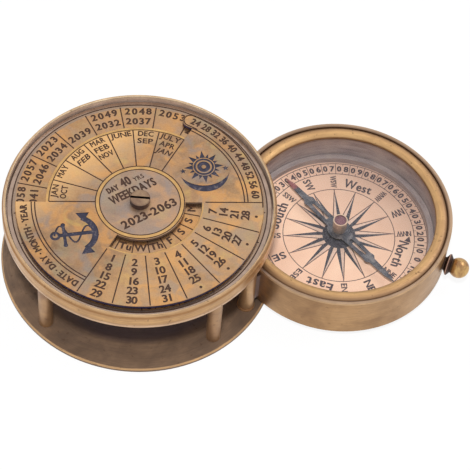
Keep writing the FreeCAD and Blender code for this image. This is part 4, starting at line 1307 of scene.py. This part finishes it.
CARD_CIRCLE = 16.15
CARD_INNER = 21.8
CARD_OUTER = 25.5
CIRCLE_WIDTH = 0.22
INK = 0.015
INK_ROOT = 0.01
POINTS = 16
STAR_TIP = 16.0
STAR_HOLLOW = 6.0
STAR_HUB = 4.8
STAR_LINE = 0.28
PRINT_SHIFT = 0.24
PRINT_WEIGHT = (0.14, 0.08)
FINE_WEIGHT = (0.1, 0.06)

# Names of the compass points, clockwise. Each chief one has its width beside it.
CHIEF_RADIUS = 18.4
CHIEF_HEIGHT = 3.0
CHIEF_POINTS = (("North", 9.4), ("East", 7.7), ("South", 9.5), ("West", 8.3))
OTHER_POINTS = (
    # names, bearing of the first, radius, cap height, width and weight
    (("NE", "SE", "SW", "NW"), 45, 19.2, 2.3, 4.0, PRINT_WEIGHT),
    (("NNE", "ENE", "ESE", "SSE", "SSW", "WSW", "WNW", "NNW"), 22.5, 18.9, 1.75, 4.2, FINE_WEIGHT),
)

# The scale's digits, and the width and length of its marks. Digits stand beside their line by an angle.
DIGIT_RADIUS = 23.65
DIGIT_HEIGHT = 2.0
ZERO_WIDTH = 1.35
DIGIT_ANGLE = 2.5
SCALE_LINE = 0.18
TICK_LINE = 0.16
TICK = 0.7

CARD_INKS = (
    # name, colour where it is thin and where it is thick
    ("card_ink", (88, 74, 78), (62, 54, 62)),
    ("card_blue", (84, 82, 90), (58, 57, 66)),
    ("card_outline", (118, 94, 90), (88, 72, 72)),
    ("card_pale", (224, 194, 176), (208, 180, 164)),
)


def card_angle(bearing):
    """Compass bearings run clockwise from the printed north."""
    return CARD_NORTH - bearing


def star_halves(bearing):
    """The dark and the pale half of one ray of the star."""
    angle = card_angle(bearing)
    tip = polar(STAR_TIP, angle)
    half_step = 180 / POINTS
    dark = [[tip, polar(STAR_HOLLOW, angle - half_step), (0, 0)]]
    pale = [[tip, polar(STAR_HOLLOW, angle + half_step), (0, 0)]]
    return dark, pale


def card_words():
    """The chief points have their tops outwards. The others lie along the radius, and are read from left
    to right where north is up."""
    marks = []
    for k, (name, width) in enumerate(CHIEF_POINTS):
        marks += text_at(name, CHIEF_RADIUS, card_angle(90 * k), CHIEF_HEIGHT, width, weight=PRINT_WEIGHT)
    for names, first, radius, height, width, weight in OTHER_POINTS:
        for k, name in enumerate(names):
            bearing = first + 360 / len(names) * k
            turn = READ_OUT if bearing <= 180 else READ_IN
            marks += text_at(name, radius, card_angle(bearing), height, width, turn, weight=weight)
    return marks


def card_scale():
    """Degrees of a quadrant, counted from north and from south, with a line every ten and its digits."""
    marks = []
    for bearing in range(0, 360, 5):
        angle = card_angle(bearing)
        folded = bearing % 180
        degrees = min(folded, 180 - folded)
        if bearing % 10:
            marks.append(ray_line(angle, CARD_INNER, CARD_INNER + TICK, TICK_LINE))
            marks.append(ray_line(angle, CARD_OUTER - TICK, CARD_OUTER, TICK_LINE))
        elif degrees == 0:
            marks += text_at("0", DIGIT_RADIUS, angle, DIGIT_HEIGHT, ZERO_WIDTH)
        else:
            marks.append(ray_line(angle, CARD_INNER, CARD_OUTER, SCALE_LINE))
            marks += text_at(str(degrees // 10), DIGIT_RADIUS, angle + DIGIT_ANGLE, DIGIT_HEIGHT)
            marks += text_at("0", DIGIT_RADIUS, angle - DIGIT_ANGLE, DIGIT_HEIGHT, ZERO_WIDTH)
    return marks


def north_arrow():
    """The small arrow over the word for north, between the card's two circles, and the line to it."""
    arrow = moved([[(19.2, 6.9), (18.2, 4.9), (20.2, 4.9)]], turn=CARD_NORTH)
    return [arrow, ray_line(CARD_NORTH + 19.5, CARD_CIRCLE, 18.4, 0.14)]


def make_card_print():
    halves = [star_halves(360 / POINTS * k) for k in range(POINTS)]
    inks = [(loops, 0) for loops in card_words() + card_scale() + north_arrow()]
    inks += [(ring_line(radius, CIRCLE_WIDTH), 0) for radius in (CARD_CIRCLE, CARD_INNER, CARD_OUTER)]
    inks.append(([circle(STAR_HUB, 48)], 1))
    inks += [(dark, 1) for dark, _ in halves]
    inks += [(bar(pale[0][0], pale[0][1], STAR_LINE), 2) for _, pale in halves]
    inks += [(pale, 3) for _, pale in halves]
    tones = []
    for name, thin, thick in CARD_INKS:
        tones.append(mottled(name, 1400, ((0.35, thick), (0.65, thin)), 0.7, detail=2, centre=COMPASS))
    top = top_of("compass_card")
    sheet = printed_sheet("card_print", inks, top - INK_ROOT, top + INK, tones)
    x, y = polar(PRINT_SHIFT, CARD_NORTH)
    sheet.data.transform(Matrix.Translation((COMPASS.x + x * MM, COMPASS.y + y * MM, 0)))
    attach(sheet, "compass")


def make_bezel():
    """The bezel, turned with soft corners."""
    bottom = bottom_of("compass_bezel")
    top = top_of("compass_bezel")
    outer = radius_of("compass_bezel")
    soft = rounded([(26.8, bottom + 0.3), (26.82, bottom + 0.66), (27.6, top - 0.16), (28.1, top),
                    (29.1, top), (29.7, top - 0.26), (30.28, top - 0.72), (outer, top - 0.9)])
    bezel = turned_piece("bezel_turned", COMPASS, [(26.8, bottom), *soft, (outer, bottom)], bezel_brass())
    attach(bezel, "compass")
    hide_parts("compass_bezel")


make_face_plate()
make_year_disc()
make_card_print()
make_bezel()
